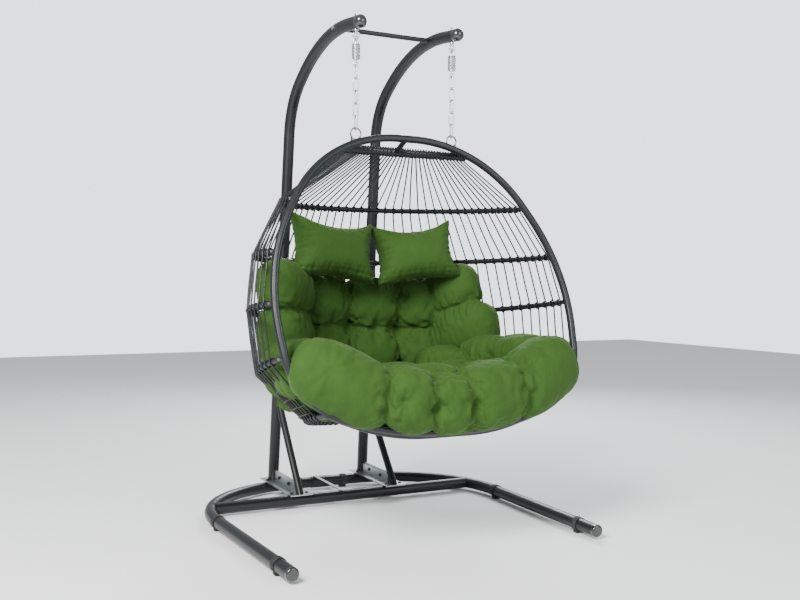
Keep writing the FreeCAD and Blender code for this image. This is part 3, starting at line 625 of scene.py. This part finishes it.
def strand_knots():
    """Where each strand passes each hoop: points, hoop directions and outward directions, strand by hoop."""
    shares = (0.80, 0.93, 0.95, 0.94, 0.92, 0.90)
    lines = [top_line(), hoop_line(1), hoop_line(2), hoop_line(3), hoop_line(4), pan_line()]
    count = sizes().canes
    places, directions = [], []
    for line, share in zip(lines, shares):
        if line[0, 0] > line[-1, 0]:
            line = line[::-1]
        spread = 0.5 + share * 0.5 * np.linspace(-1.0, 1.0, count)
        index, numbers = spread * (len(line) - 1), np.arange(len(line))
        tangent = unit(np.gradient(line, axis=0))
        places.append(np.stack([np.interp(index, numbers, line[:, k]) for k in range(3)], axis=1))
        directions.append(unit(np.stack([np.interp(index, numbers, tangent[:, k]) for k in range(3)], axis=1)))
    places, directions = np.stack(places, axis=1), np.stack(directions, axis=1)
    downwards = unit(np.gradient(places, axis=1))
    outward = unit(np.cross(directions, downwards))
    middle = places.mean(axis=(0, 1)) * np.array([0.0, 1.0, 1.0]) - np.array([0.0, 0.25, 0.0])
    outward *= np.sign((outward * (places - middle)).sum(-1, keepdims=True))
    return places, directions, downwards, outward


class EGG_OT_canes(bpy.types.Operator):
    """Upright strands that pass outside every hoop, and the loop that ties each one there"""

    bl_idname = "egg.canes"
    bl_label = "Canes"

    def execute(self, context):
        places, directions, downwards, outward = strand_knots()
        cane = sizes().cane
        wrap = sizes().hoop_wrap
        radii = np.array([sizes().top_wrap - 0.0006, wrap, wrap, wrap, wrap, sizes().pan_wrap])[None, :, None]
        over = places + outward * (radii + 0.75 * cane)
        hold = radii * 0.8
        before, after = over - downwards * hold - outward * 0.0035, over + downwards * hold - outward * 0.0035
        random = np.random.default_rng(7)
        middle = 0.5 * (after[:, :-1] + before[:, 1:]) + random.normal(0.0, 0.0012, (len(places), 5, 3))
        stops = []
        for k in range(6):
            stops += [before[:, k], over[:, k], after[:, k]]
            if k < 5:
                stops.append(middle[:, k])
        lines = np.stack(stops, axis=1)
        material = rattan("Cane", roughness=0.36, streak=0.0010)
        strands = rods(lines, directions[:, 2:3], cane, 8)
        finished(piece("canes", strands), material,
                 replaced=["cane_row_%d" % row for row in (1, 2, 3, 4, 5)])
        turn = np.linspace(0.0, 1.0, 17)
        centre, along, out = (rows[:, 1:].reshape(-1, 3) for rows in (places, directions, outward))
        third = np.cross(along, out)
        reach = (np.broadcast_to(radii[:, 1:], (len(places), 5, 1)) + 0.55 * cane).reshape(-1, 1, 1)
        angle = 2.0 * math.pi * turn[None, :, None]
        loops = (centre[:, None] + along[:, None] * (0.0026 + 0.0042 * turn[None, :, None])
                 + reach * (np.cos(angle) * out[:, None] + np.sin(angle) * third[:, None]))
        ties = rods(loops, along[:, None], cane * 0.9, 6)
        finished(piece("cane_ties", ties), material)
        return {"FINISHED"}


class EGG_OT_pan_weave(bpy.types.Operator):
    """Seat pan: flat strips that pass over and under each other, and rows woven through the canes above"""

    bl_idname = "egg.pan_weave"
    bl_label = "Pan weave"

    def execute(self, context):
        material = rattan("Pan strip", shade(tuple(context.scene.egg_colours.rattan), 0.9), 0.46)
        line = pan_line(500)
        start = on_rim([0, PAN_HEIGHT, 0])[0]
        fall = math.radians(PAN_TILT)
        back = np.array([0.0, math.cos(fall), -math.sin(fall)])
        lift = np.array([0.0, math.sin(fall), math.cos(fall)])
        across, deep = line[:, 0], (line - start) @ back
        pitch, width = 0.0150, 0.0125

        def ribbons(places, reach, lengthwise):
            """Flat strips; height is a cosine of the length, turned over from strip to strip."""
            steps = 2 * int(round((reach[:, 1] - reach[:, 0]).max() / pitch)) + 1
            share = np.linspace(0.0, 1.0, steps)[None, :]
            run = reach[:, :1] + (reach[:, 1:] - reach[:, :1]) * share
            order = np.round(places / pitch)[:, None]
            height = 0.0013 * np.cos(math.pi * (run / pitch + order)) * (1.0 if lengthwise else -1.0)
            fixed = np.broadcast_to(places[:, None], run.shape)
            x, y = (fixed, run) if lengthwise else (run, fixed)
            lines = start + x[..., None] * RIGHT + y[..., None] * back + height[..., None] * lift
            return strip_rods(lines, RIGHT if lengthwise else back, lift, 0.5 * width, 0.0009)

        right = across > 0
        outwards = 1 if across[right][0] < across[right][-1] else -1
        columns = np.arange(-28, 29) * pitch
        rear = np.interp(np.abs(columns), across[right][::outwards], deep[right][::outwards])
        inside = rear > 0.10
        columns, rear = columns[inside], rear[inside]
        long_reach = np.stack([np.full_like(rear, 0.028), rear - 0.010], axis=1)
        rows = np.arange(2, 39) * pitch
        order = np.argsort(deep[right])
        half = np.interp(rows, deep[right][order], across[right][order])
        cross_reach = np.stack([-half + 0.010, half - 0.010], axis=1)
        lengthwise = ribbons(columns, long_reach, True)
        crosswise = ribbons(rows, cross_reach, False)
        finished(piece("pan_strips", together([lengthwise, crosswise])), material,
                 replaced=["pan_weave"])
        places, _, _, outward = strand_knots()
        cane = sizes().cane
        lines = []
        sign = np.where(np.arange(len(places)) % 2 == 0, 1.0, -1.0)[:, None]
        for number, share in enumerate((0.42, 0.60, 0.76, 0.90)):
            row = places[:, 4] * (1.0 - share) + places[:, 5] * share
            side = sign * (1 if number % 2 else -1)
            out = unit(outward[:, 4] + outward[:, 5]) * (0.0125 + cane * 1.7 * side)
            lines.append(even(row + out, 260))
        weavers = rods(np.stack(lines), ABOVE, cane * 0.95, 7)
        material = rattan("Weaver", roughness=0.42, streak=0.0010)
        finished(piece("pan_weavers", weavers), material)
        return {"FINISHED"}


def strip_rods(lines, edge, lift, half_width, half_thickness):
    """Flat strips: six points, thick at the middle and thin at both edges, carried along each line."""
    count, length = lines.shape[:2]
    across = np.array([-1.0, -0.55, 0.55, 1.0, 0.55, -0.55]) * half_width
    height = np.array([0.0, 1.0, 1.0, 0.0, -1.0, -1.0]) * half_thickness
    points = lines[:, :, None] + across[None, None, :, None] * edge + height[None, None, :, None] * lift
    rows, columns = np.arange(length - 1)[:, None], np.arange(6)[None, :]
    after = (columns + 1) % 6
    ahead = np.dot(np.cross(edge, lift), lines[0, 1] - lines[0, 0]) > 0
    if ahead:
        corners = [rows * 6 + columns, (rows + 1) * 6 + columns, (rows + 1) * 6 + after, rows * 6 + after]
    else:
        corners = [rows * 6 + columns, rows * 6 + after, (rows + 1) * 6 + after, (rows + 1) * 6 + columns]
    one = np.stack(corners, axis=-1).reshape(-1, 4)
    offsets = np.arange(count) * length * 6
    quads = (one[None] + offsets[:, None, None]).reshape(-1, 4)
    ends = np.array([[0, 1, 5], [1, 2, 4], [2, 3, 4], [1, 4, 5]])
    first, last = (ends, ends[:, ::-1]) if ahead else (ends[:, ::-1], ends)
    last = last + (length - 1) * 6
    caps = (np.concatenate([first, last])[None] + offsets[:, None, None]).reshape(-1, 3)
    runs = np.linalg.norm(np.diff(lines, axis=1), axis=2)
    along = np.concatenate([np.zeros((count, 1)), np.cumsum(runs, axis=1)], axis=1)
    along = along.repeat(6, axis=1).reshape(-1)
    girth = np.tile(np.array([0.0, 0.3, 0.8, 1.0, 1.3, 1.8]) * 2.0 * half_width, count * length)
    uv = np.stack([along, girth], axis=1)
    return shell(points.reshape(-1, 3), quads, caps, uv[quads], uv[caps])


class EGG_OT_springs(bpy.types.Operator):
    """Two coil springs that stretch between the hooks"""

    bl_idname = "egg.springs"
    bl_label = "Springs"

    def execute(self, context):
        material = plated("Spring wire", tuple(context.scene.egg_colours.zinc), 0.24)
        for name in ("spring_left", "spring_right"):
            low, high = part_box(name)
            centre_x, centre_y = 0.5 * (low.x + high.x), 0.5 * (low.y + high.y)
            radius = 0.5 * (high.x - low.x)
            wire, turns = 0.0020, 11
            turn = np.linspace(0.0, 2.0 * math.pi * turns, turns * 20 + 1)
            sign = 1.0 if name == "spring_right" else -1.0
            height = np.linspace(low.z + wire, high.z - wire, len(turn))
            coil_radius = radius - wire
            line = np.stack([centre_x + coil_radius * np.cos(turn),
                             centre_y + sign * coil_radius * np.sin(turn), height], axis=1)
            coil = piece(name + "_coil", rods(line[None], ABOVE, wire, 8))
            finished(coil, material, body=None, replaced=[name])
            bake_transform(coil)
        return {"FINISHED"}


# ---- cushions ----
def block_axes(blocks):
    """Along, up and out directions of each block from its turn about Z, its slope and its lean, in degrees.

    Along points to the sitter's left, out points to the front and up is square to both.
    """
    turn, slope, lean = np.radians(blocks[:, 6]), np.radians(blocks[:, 7]), np.radians(blocks[:, 8])
    along = np.stack([np.cos(turn) * np.cos(slope), np.sin(turn) * np.cos(slope), np.sin(slope)], axis=1)
    out = np.stack([np.sin(turn) * np.cos(lean), -np.cos(turn) * np.cos(lean), np.sin(lean)], axis=1)
    up = unit(np.cross(out, along))
    return along, up, np.cross(along, up)


def puffs(blocks, power=3.3, rings=16, around=24):
    """Stuffed blocks: balls whose points move out until the powered shares of the half sizes sum to 1."""
    along, up, out = block_axes(blocks)
    height = math.pi * (np.arange(1, rings) / rings)
    angle = 2.0 * math.pi * np.arange(around) / around
    ball = np.stack([np.sin(height)[:, None] * np.cos(angle), np.sin(height)[:, None] * np.sin(angle),
                     np.repeat(np.cos(height)[:, None], around, axis=1)], axis=-1).reshape(-1, 3)
    ball = np.concatenate([ball, [[0, 0, 1.0], [0, 0, -1.0]]])
    ball /= (np.abs(ball) ** power).sum(1, keepdims=True) ** (1.0 / power)
    scaled = ball[None] * blocks[:, None, 3:6]
    points = blocks[:, None, :3] + sum(scaled[..., k:k + 1] * axis[:, None]
                                       for k, axis in enumerate((along, up, out)))
    rows, columns = np.arange(rings - 2)[:, None], np.arange(around)[None, :]
    after = (columns + 1) % around
    quads = np.stack([rows * around + columns, (rows + 1) * around + columns,
                      (rows + 1) * around + after, rows * around + after], axis=-1).reshape(-1, 4)
    last, pole = (rings - 2) * around, (rings - 1) * around
    ring, nxt = np.arange(around), (np.arange(around) + 1) % around
    top = np.stack([np.full(around, pole), ring, nxt], axis=1)
    bottom = np.stack([np.full(around, pole + 1), last + nxt, last + ring], axis=1)
    offsets = (np.arange(len(blocks)) * (pole + 2))[:, None, None]
    return shell(points.reshape(-1, 3), (quads[None] + offsets).reshape(-1, 4),
                 (np.concatenate([top, bottom])[None] + offsets).reshape(-1, 3))


def fullness(points, blocks, power=3.3):
    """For each point and block: 1 on the block's skin, less inside it and more outside."""
    away = points[:, None, :] - blocks[None, :, :3]
    shares = np.stack([(away * axis).sum(-1) for axis in block_axes(blocks)], axis=-1) / blocks[None, :, 3:6]
    return (np.abs(shares) ** power).sum(-1) ** (1.0 / power)


def points_of(mesh):
    points = np.zeros(len(mesh.vertices) * 3, np.float32)
    mesh.vertices.foreach_get("co", points)
    return points.reshape(-1, 3).astype(float)


def normals_of(mesh):
    normals = np.zeros(len(mesh.vertices) * 3, np.float32)
    mesh.vertices.foreach_get("normal", normals)
    return normals.reshape(-1, 3).astype(float)


def place_points(mesh, points):
    mesh.vertices.foreach_set("co", np.asarray(points, np.float32).ravel())
    mesh.update()


def eased(mesh, points, rounds, share=0.5):
    """Each point moves part of the way to the mean of its neighbours, round after round."""
    ends = np.zeros(len(mesh.edges) * 2, np.int32)
    mesh.edges.foreach_get("vertices", ends)
    ends = ends.reshape(-1, 2)
    first, second = np.concatenate([ends[:, 0], ends[:, 1]]), np.concatenate([ends[:, 1], ends[:, 0]])
    count = np.bincount(first, minlength=len(points))[:, None]
    for _ in range(rounds):
        total = np.stack([np.bincount(first, weights=points[second, k], minlength=len(points))
                          for k in range(3)], axis=1)
        points = points * (1.0 - share) + total / count * share
    return points


def with_modifier(thing, name, kind, **values):
    """Applies one modifier and returns the object on its new mesh."""
    modifier = thing.modifiers.new(name, kind)
    for key, value in values.items():
        setattr(modifier, key, value)
    shaped = thing.evaluated_get(bpy.context.evaluated_depsgraph_get())
    mesh = bpy.data.meshes.new_from_object(shaped)
    old = thing.data
    thing.modifiers.clear()
    thing.data = mesh
    bpy.data.meshes.remove(old)
    return thing


def settle(thing, stitched, pressure, slack, travel, steps=14):
    """Cloth round a filling: a little too large, pushed out by the filling and held at the stitched points.

    No point ends further than travel from where it began.
    """
    rest = points_of(thing.data)
    group = thing.vertex_groups.new(name="stitched")
    group.add(np.flatnonzero(stitched).tolist(), 1.0, "REPLACE")
    cloth = thing.modifiers.new("Cloth", "CLOTH")
    cloth.settings.quality = 4
    cloth.settings.mass = 0.15
    cloth.settings.tension_stiffness = 12.0
    cloth.settings.compression_stiffness = 8.0
    cloth.settings.shear_stiffness = 5.0
    cloth.settings.bending_stiffness = 0.05
    cloth.settings.use_pressure = True
    cloth.settings.uniform_pressure_force = pressure
    cloth.settings.shrink_min = -slack
    cloth.settings.vertex_group_mass = "stitched"
    cloth.settings.effector_weights.gravity = 0.0
    cloth.collision_settings.use_collision = False
    cloth.point_cache.frame_start = 1
    cloth.point_cache.frame_end = steps
    for step in range(1, steps + 1):
        bpy.context.scene.frame_set(step)
    shaped = thing.evaluated_get(bpy.context.evaluated_depsgraph_get())
    moved = points_of(shaped.data) - rest
    thing.modifiers.clear()
    thing.vertex_groups.clear()
    length = np.linalg.norm(moved, axis=1, keepdims=True)
    moved *= np.minimum(1.0, travel / np.maximum(length, 1e-9))
    place_points(thing.data, rest + moved)
    bpy.context.scene.frame_set(1)
    return thing


def puckered(points, normals, buttons, depth, reach, folds, seed):
    """Dimples and rays: at each button the cloth sinks like a bell curve of the distance, and rays of cloth
    rise and fall with the angle round it and fade with the distance."""
    random = np.random.default_rng(seed)
    moved = np.zeros(len(points))
    for place in np.asarray(buttons, float):
        away = points - place
        distance = np.linalg.norm(away, axis=1)
        near = distance < reach * 4.0
        facing = normals[near]
        flat = away[near] - (away[near] * facing).sum(1, keepdims=True) * facing
        first = unit(np.cross(facing, np.array([0.3, 0.2, 0.93])))
        second = np.cross(facing, first)
        angle = np.arctan2((flat * second).sum(1), (flat * first).sum(1))
        phase = random.uniform(0.0, 6.28, 3)
        rays = (np.sin(folds * angle + phase[0]) + 0.6 * np.sin((folds + 2) * angle + phase[1])
                + 0.4 * np.sin((folds - 3) * angle + phase[2]))
        d = distance[near] / reach
        moved[near] += -depth * np.exp(-(d ** 2) * 2.2)
        moved[near] += 0.16 * depth * rays * np.exp(-d * 1.1) * np.minimum(1.0, d * 2.0)
    return points + normals * moved[:, None]


def drawn_folds(points, normals, gather, direction, size, depth, seed):
    """Folds along a direction where the cloth is gathered: sine waves across it, bent by slow waves."""
    random = np.random.default_rng(seed)
    direction = unit(np.asarray(direction, float))
    across = unit(np.cross(direction, np.array([0.1, 0.25, 1.0])))
    phase = random.uniform(0.0, 6.28, 6)
    along = points @ direction
    side = points @ across
    slow = np.sin(along / size * 0.9 + phase[0]) + np.sin(points[:, 2] / size * 0.7 + phase[1])
    bend = 0.35 * size * slow
    wave = (np.sin((side + bend) * 2.0 * math.pi / size + phase[2])
            + 0.5 * np.sin((side - bend) * 2.0 * math.pi / (size * 0.62) + phase[3]))
    return points + normals * (depth * gather * wave)[:, None]


def cushion_from(name, blocks, buttons, seed):
    """Blocks fused into one cloth skin, puckered at its buttons, then filled.

    A point where two blocks are equally full lies on a seam between them.
    """
    stuffing = bpy.context.scene.egg_cushions
    thing = piece(name, puffs(blocks))
    with_modifier(thing, "Skin", "REMESH", mode="VOXEL", voxel_size=stuffing.voxel)
    mesh = thing.data
    points = eased(mesh, points_of(mesh), 5)
    place_points(mesh, points)
    levels = np.sort(fullness(points, blocks), axis=1)
    seam = np.clip(1.0 - (levels[:, 1] - levels[:, 0]) / 0.10, 0.0, 1.0)
    near_seam = np.clip(1.0 - (levels[:, 1] - levels[:, 0]) / 0.55, 0.0, 1.0)
    normals = normals_of(mesh)
    points = puckered(points, normals, buttons, 0.024, 0.052, 9, seed)
    gather = (0.30 + near_seam ** 1.3) * (1.0 - 0.7 * seam)
    for number in range(4):
        turn = 1.3 * number + 0.4
        points = drawn_folds(points, normals, gather, (math.cos(turn), 0.3, math.sin(turn)),
                             0.026 + 0.010 * number, 0.0027, seed + number)
    points = points - normals * (0.008 * seam)[:, None]
    place_points(mesh, points)
    settle(thing, seam > 0.55, stuffing.pressure, stuffing.slack, stuffing.travel)
    with_modifier(thing, "Round", "SUBSURF", levels=1, render_levels=1)
    thing.data.polygons.foreach_set("use_smooth", np.ones(len(thing.data.polygons), bool))
    return thing


def from_hanging_line(places):
    return np.array(places, float) + np.array([0.0, HANGING_LINE, 0.0])


def block_table(rows):
    """Blocks: centre, half sizes along, up and out, and turn, slope and lean in degrees."""
    table = np.array(rows, float)
    table[:, 1] += HANGING_LINE
    return table


class EGG_OT_seat_cushion(bpy.types.Operator):
    """Seat: rows of stuffed blocks, an armrest at each side and the thick roll along the rim"""

    bl_idname = "egg.seat_cushion"
    bl_label = "Seat cushion"

    def execute(self, context):
        blocks = block_table([
            # roll along the rim, left to right
            (-.392, -.330, .622, .188, .110, .098, -12, -28, 8),
            (-.172, -.372, .562, .112, .106, .102, -4, -11, 0),
            (-.025, -.382, .543, .098, .100, .100, 0, 0, 0),
            (.150, -.376, .565, .148, .108, .102, 3, 9, 0),
            (.372, -.345, .620, .172, .112, .102, 12, 26, 8),
            # seat, front to back
            (-.26, -.17, .566, .150, .082, .160, 0, 0, 11.5), (0, -.17, .560, .155, .082, .160, 0, 0, 11.5),
            (.26, -.17, .566, .150, .082, .160, 0, 0, 11.5),
            (-.26, .07, .552, .150, .082, .150, 0, 0, 11.5), (0, .07, .547, .155, .082, .150, 0, 0, 11.5),
            (.26, .07, .552, .150, .082, .150, 0, 0, 11.5),
            (-.20, .24, .535, .140, .080, .125, 0, 0, 8), (.03, .25, .535, .140, .080, .125, 0, 0, 8),
            (.23, .24, .535, .130, .080, .120, 0, 0, 8),
            # armrests
            (-.440, .05, .640, .140, .100, .095, 75, 0, 0), (-.465, -.15, .655, .130, .100, .095, 85, 0, 0),
            (.435, .05, .640, .140, .100, .095, -75, 0, 0), (.460, -.15, .655, .130, .100, .095, -85, 0, 0),
            # filling below the sides, the rear corners and the middle
            (-.40, -.06, .560, .085, .060, .230, 0, 0, 8), (.40, -.06, .560, .085, .060, .230, 0, 0, 8),
            (.315, .190, .605, .135, .085, .095, -45, 0, 8), (-.315, .190, .605, .135, .085, .095, 45, 0, 8),
            (0, -.04, .520, .410, .046, .270, 0, 0, 11.5),
        ])
        buttons = [(-.130, -.045, .62), (.130, -.045, .62), (-.13, .19, .60), (.13, .19, .60),
                   (-.39, -.04, .66), (.39, -.04, .66), (-.39, .16, .66), (.39, .16, .66),
                   (-.105, -.475, .54), (.050, -.480, .54), (-.478, -.44, .68),
                   (.290, -.45, .67), (-.220, -.46, .57), (-.105, -.44, .61), (.050, -.44, .62)]
        cushion = cushion_from("seat_cushion_fabric", blocks, from_hanging_line(buttons), 11)
        finished(cushion, woven_fabric("Seat fabric"), replaced=["seat_cushion"])
        return {"FINISHED"}


class EGG_OT_back_cushion(bpy.types.Operator):
    """Back: two rows of three stuffed blocks, and a wing of two blocks that comes forward at each side"""

    bl_idname = "egg.back_cushion"
    bl_label = "Back cushion"

    def execute(self, context):
        blocks = block_table([
            # upper row, then lower row
            (-.188, .388, .880, .126, .116, .088, 12, 0, 10), (.030, .395, .864, .126, .110, .088, 0, 0, 10),
            (.250, .385, .862, .128, .118, .088, -12, 4, 10),
            (-.188, .370, .690, .126, .110, .092, 12, 0, 10), (.030, .378, .676, .126, .110, .092, 0, 0, 10),
            (.250, .368, .672, .128, .106, .092, -12, 0, 10),
            # left wing, then right wing
            (-.392, .236, .936, .172, .106, .080, 52, -6, 6),
            (-.396, .218, .752, .170, .122, .082, 54, -4, 6),
            (.382, .290, .928, .118, .104, .080, -50, 14, 6),
            (.410, .235, .770, .148, .116, .082, -56, 10, 6),
            # filling behind the rows
            (0.02, .405, .770, .330, .160, .050, 0, 0, 10),
        ])
        buttons = [(-.300, .300, .81), (-.085, .310, .778), (.140, .310, .757), (.362, .290, .775),
                   (-.30, .30, .66), (.37, .28, .66), (-.085, .310, .62), (.140, .310, .61),
                   (-.085, .32, .93), (.140, .32, .91), (-.30, .31, .95), (.35, .32, .92),
                   (-.46, .14, .84), (.47, .17, .86)]
        cushion = cushion_from("back_cushion_fabric", blocks, from_hanging_line(buttons), 23)
        finished(cushion, woven_fabric("Back fabric"), replaced=["back_cushion"])
        return {"FINISHED"}


def pillow_skin(columns, rows, width, height, thickness, pinch, dip, sag):
    """Pillow of two cloths sewn at their edges.

    Across and up run from -1 to 1.  At their middles the sides pull in by pinch, the top by dip and the
    bottom by sag; thickness follows the root of how far a point is from all four edges.
    """
    u, v = np.meshgrid(np.linspace(-1, 1, columns), np.linspace(-1, 1, rows), indexing="ij")
    corner = np.abs(u * v) ** 5
    drawn = np.where(v > 0, dip, sag) * (1.0 - u ** 2) * np.abs(v) ** 1.5
    x = 0.5 * width * u * (1.0 - 0.07 * corner) * (1.0 - pinch * (1.0 - v ** 2) * np.abs(u) ** 1.5)
    z = 0.5 * height * v * (1.0 - 0.10 * corner) * (1.0 - drawn)
    y = 0.5 * thickness * ((1.0 - u ** 2) * (1.0 - v ** 2)) ** 0.33
    number = np.arange(columns * rows).reshape(columns, rows)
    edge = (np.abs(u) > 0.999) | (np.abs(v) > 0.999)
    other = np.where(edge, number, -1)
    other[~edge] = columns * rows + np.arange(int((~edge).sum()))
    front = np.stack([x, -y, z], axis=-1).reshape(-1, 3)
    rear = np.stack([x, y, z], axis=-1)[~edge]
    back = grid_quads(other)[:, [0, 3, 2, 1]]
    return shell(np.concatenate([front, rear]), np.concatenate([grid_quads(number), back]))


class EGG_OT_head_pillows(bpy.types.Operator):
    """Two head pillows with drawn-in edges, four pointed corners and a puckered seam"""

    bl_idname = "egg.head_pillows"
    bl_label = "Head pillows"

    def execute(self, context):
        fabric = woven_fabric("Pillow fabric")
        width, height = 0.378, 0.276
        for name, side, middle, seed in (("head_pillow_left", -1.0, (-.192, .250, 1.098), 31),
                                         ("head_pillow_right", 1.0, (.176, .250, 1.090), 37)):
            skin = pillow_skin(71, 49, width, height, 0.126, 0.17, 0.46, 0.14)
            random = np.random.default_rng(seed)
            points = skin["points"]
            nearest = np.maximum(np.abs(points[:, 0] / (0.5 * width)), np.abs(points[:, 2] / (0.5 * height)))
            gather = np.clip(nearest - 0.45, 0.0, 0.6) * 1.4
            phases = zip((130.0, 203.0, 291.0), random.uniform(0, 6.28, 3), random.uniform(0, 6.28, 3))
            waves = sum(np.sin(points[:, 0] * k + p) + np.sin(points[:, 2] * (k + 37) + q) for k, p, q in phases)
            points[:, 1] += 0.0020 * gather * waves * np.sign(points[:, 1])
            tilt, lean = math.radians(-6.0) * side, math.radians(-14.0)
            turning = (Matrix.Rotation(tilt, 3, "Z") @ Matrix.Rotation(lean, 3, "X")
                       @ Matrix.Rotation(tilt, 3, "Y"))
            skin["points"] = points @ np.array(turning).T + from_hanging_line(middle)
            pillow = piece(name + "_fabric", skin)
            settle(pillow, np.zeros(len(points), bool), 5.0, 0.06, 0.024, 16)
            with_modifier(pillow, "Round", "SUBSURF", levels=1, render_levels=1)
            pillow.data.polygons.foreach_set("use_smooth", np.ones(len(pillow.data.polygons), bool))
            finished(pillow, fabric, replaced=[name])
        return {"FINISHED"}


# ---- finishes of the frame ----
class EGG_OT_frame_finishes(bpy.types.Operator):
    """Powder coat, plating, plastic and rubber on the parts of the frame"""

    bl_idname = "egg.frame_finishes"
    bl_label = "Frame finishes"

    def execute(self, context):
        colours = context.scene.egg_colours
        zinc = tuple(colours.zinc)
        coat = powder_coat()
        basket_coat = powder_coat("Basket powder coat", shade(tuple(colours.powder), 0.9), 0.40)
        bright = plated("Bright zinc", zinc, 0.26)
        dull = plated("Dull zinc", (0.20, 0.21, 0.22), 0.34)
        plate = plated("Bracket plate", (0.40, 0.43, 0.44), 0.36, 0.05)
        dark_bolt = plated("Blackened bolt", (0.06, 0.06, 0.065), 0.30)
        screw = plated("Screw head", (0.78, 0.79, 0.80), 0.20)
        finishes = {
            moulded_plastic(): ["leg_caps", "arm_caps"],
            rubber(): ["foot_clips"],
            bright: ["upper_hooks", "lower_hooks", "chain_left", "chain_right", "eye_bolts", "eye_nuts"],
            dull: ["rim_eyes"],
            plate: ["foot_bracket_left", "foot_bracket_right", "post_web_left", "post_web_right",
                    "tie_strap"],
            dark_bolt: ["bracket_bolts", "bracket_nuts"],
            screw: ["hoop_screws", "cross_tube_bolts"],
            basket_coat: [n for n in nodes if n.endswith("_tube") and n.startswith(("hoop", "rim", "top_hoop"))]
            + ["seat_front_tube", "top_strut"],
        }
        painted = {name for names in finishes.values() for name in names}
        finishes[coat] = [name for name in nodes if name not in painted]
        for material, names in finishes.items():
            for name in names:
                paint(nodes[name], material)
        return {"FINISHED"}


# ---- stage ----
def standing(right, up, back, place):
    """World matrix from three directions and a place."""
    return Matrix(np.vstack([np.column_stack([right, up, back, place]), [0.0, 0.0, 0.0, 1.0]]).tolist())


class EGG_OT_stage(bpy.types.Operator):
    """Camera, pale floor and soft lights"""

    bl_idname = "egg.stage"
    bl_label = "Studio stage"

    def execute(self, context):
        scene = context.scene
        data = bpy.data.cameras.new("Camera")
        data.lens, data.sensor_width, data.clip_end = 42.72, 36.0, 60.0
        camera = bpy.data.objects.new("Camera", data)
        turn, rise, roll = math.radians(-26.92), math.radians(1.213), math.radians(0.363)
        back = np.array([math.sin(turn) * math.cos(rise), -math.cos(turn) * math.cos(rise), math.sin(rise)])
        right = unit(np.cross(-back, ABOVE))
        up = np.cross(back, right)
        right, up = (math.cos(roll) * right + math.sin(roll) * up,
                     math.cos(roll) * up - math.sin(roll) * right)
        camera.matrix_world = standing(right, up, back, (-1.6667, -3.4673, 0.973))
        scene.collection.objects.link(camera)
        scene.camera = camera
        floor_grid = np.linspace(-9.0, 9.0, 7)
        x, y = np.meshgrid(floor_grid, floor_grid, indexing="ij")
        number = np.arange(49).reshape(7, 7)
        points = np.stack([x, y, np.full_like(x, -0.0005)], axis=-1).reshape(-1, 3)
        floor = piece("studio_floor", shell(points, grid_quads(number)))
        paint(floor, studio_floor())
        world = bpy.data.worlds.new("Pale studio")
        world.use_nodes = True
        tree = world.node_tree
        background = tree.nodes["Background"]
        background.inputs["Color"].default_value = (0.93, 0.965, 1.0, 1.0)
        ray = tree.nodes.new("ShaderNodeLightPath")
        glow = tree.nodes.new("ShaderNodeMapRange")
        glow.inputs["To Min"].default_value = 0.62    # on the chair
        glow.inputs["To Max"].default_value = 2.4     # as the camera sees it
        tree.links.new(ray.outputs["Is Camera Ray"], glow.inputs["Value"])
        tree.links.new(glow.outputs["Result"], background.inputs["Strength"])
        scene.world = world
        for name, place, aim, size, energy, tint in (
                ("Key", (-3.4, -2.6, 3.6), (-0.1, -0.2, 0.8), 1.8, 520.0, (1.0, 0.99, 0.97)),
                ("Front fill", (1.6, -4.6, 2.6), (0.1, -0.3, 0.7), 2.6, 110.0, (0.97, 0.99, 1.0)),
                ("Rim light", (2.2, 3.0, 3.0), (0.0, 0.0, 1.0), 1.8, 160.0, (0.95, 0.98, 1.0))):
            lamp = bpy.data.lights.new(name, "AREA")
            lamp.shape, lamp.size, lamp.energy, lamp.color = "SQUARE", size, energy, tint
            light = bpy.data.objects.new(name, lamp)
            away = unit(np.array(place) - np.array(aim))
            side = unit(np.cross(ABOVE, away))
            light.matrix_world = standing(side, np.cross(away, side), away, place)
            scene.collection.objects.link(light)
        return {"FINISHED"}


class EGG_PT_panel(bpy.types.Panel):
    """Lists the chair's sizes, colours and makers"""

    bl_idname = "EGG_PT_panel"
    bl_label = "Egg Chair"
    bl_space_type = "VIEW_3D"
    bl_region_type = "UI"
    bl_category = "Egg Chair"

    def draw(self, context):
        layout = self.layout
        for group in (context.scene.egg_basket, context.scene.egg_cushions, context.scene.egg_colours):
            box = layout.box()
            for name in group.bl_rna.properties.keys():
                if name not in {"rna_type", "name"}:
                    box.prop(group, name)
        for operator in operators:
            layout.operator(operator.bl_idname)


operators = (EGG_OT_stage, EGG_OT_rim_rattan, EGG_OT_hoop_rattan, EGG_OT_canes, EGG_OT_pan_weave,
             EGG_OT_springs, EGG_OT_seat_cushion, EGG_OT_back_cushion, EGG_OT_head_pillows, EGG_OT_frame_finishes)
groups = {"egg_basket": BasketSizes, "egg_cushions": CushionSizes, "egg_colours": Colours}


def register():
    for group in groups.values():
        bpy.utils.register_class(group)
    for cls in operators + (EGG_PT_panel,):
        bpy.utils.register_class(cls)
    for name, group in groups.items():
        setattr(bpy.types.Scene, name, PointerProperty(type=group))


def unregister():
    for name in groups:
        delattr(bpy.types.Scene, name)
    for cls in (EGG_PT_panel,) + operators[::-1]:
        bpy.utils.unregister_class(cls)
    for group in groups.values():
        bpy.utils.unregister_class(group)


def main():
    register()
    for operator in operators:
        family, name = operator.bl_idname.split(".")
        getattr(getattr(bpy.ops, family), name)()


if __name__ == "__main__":
    main()
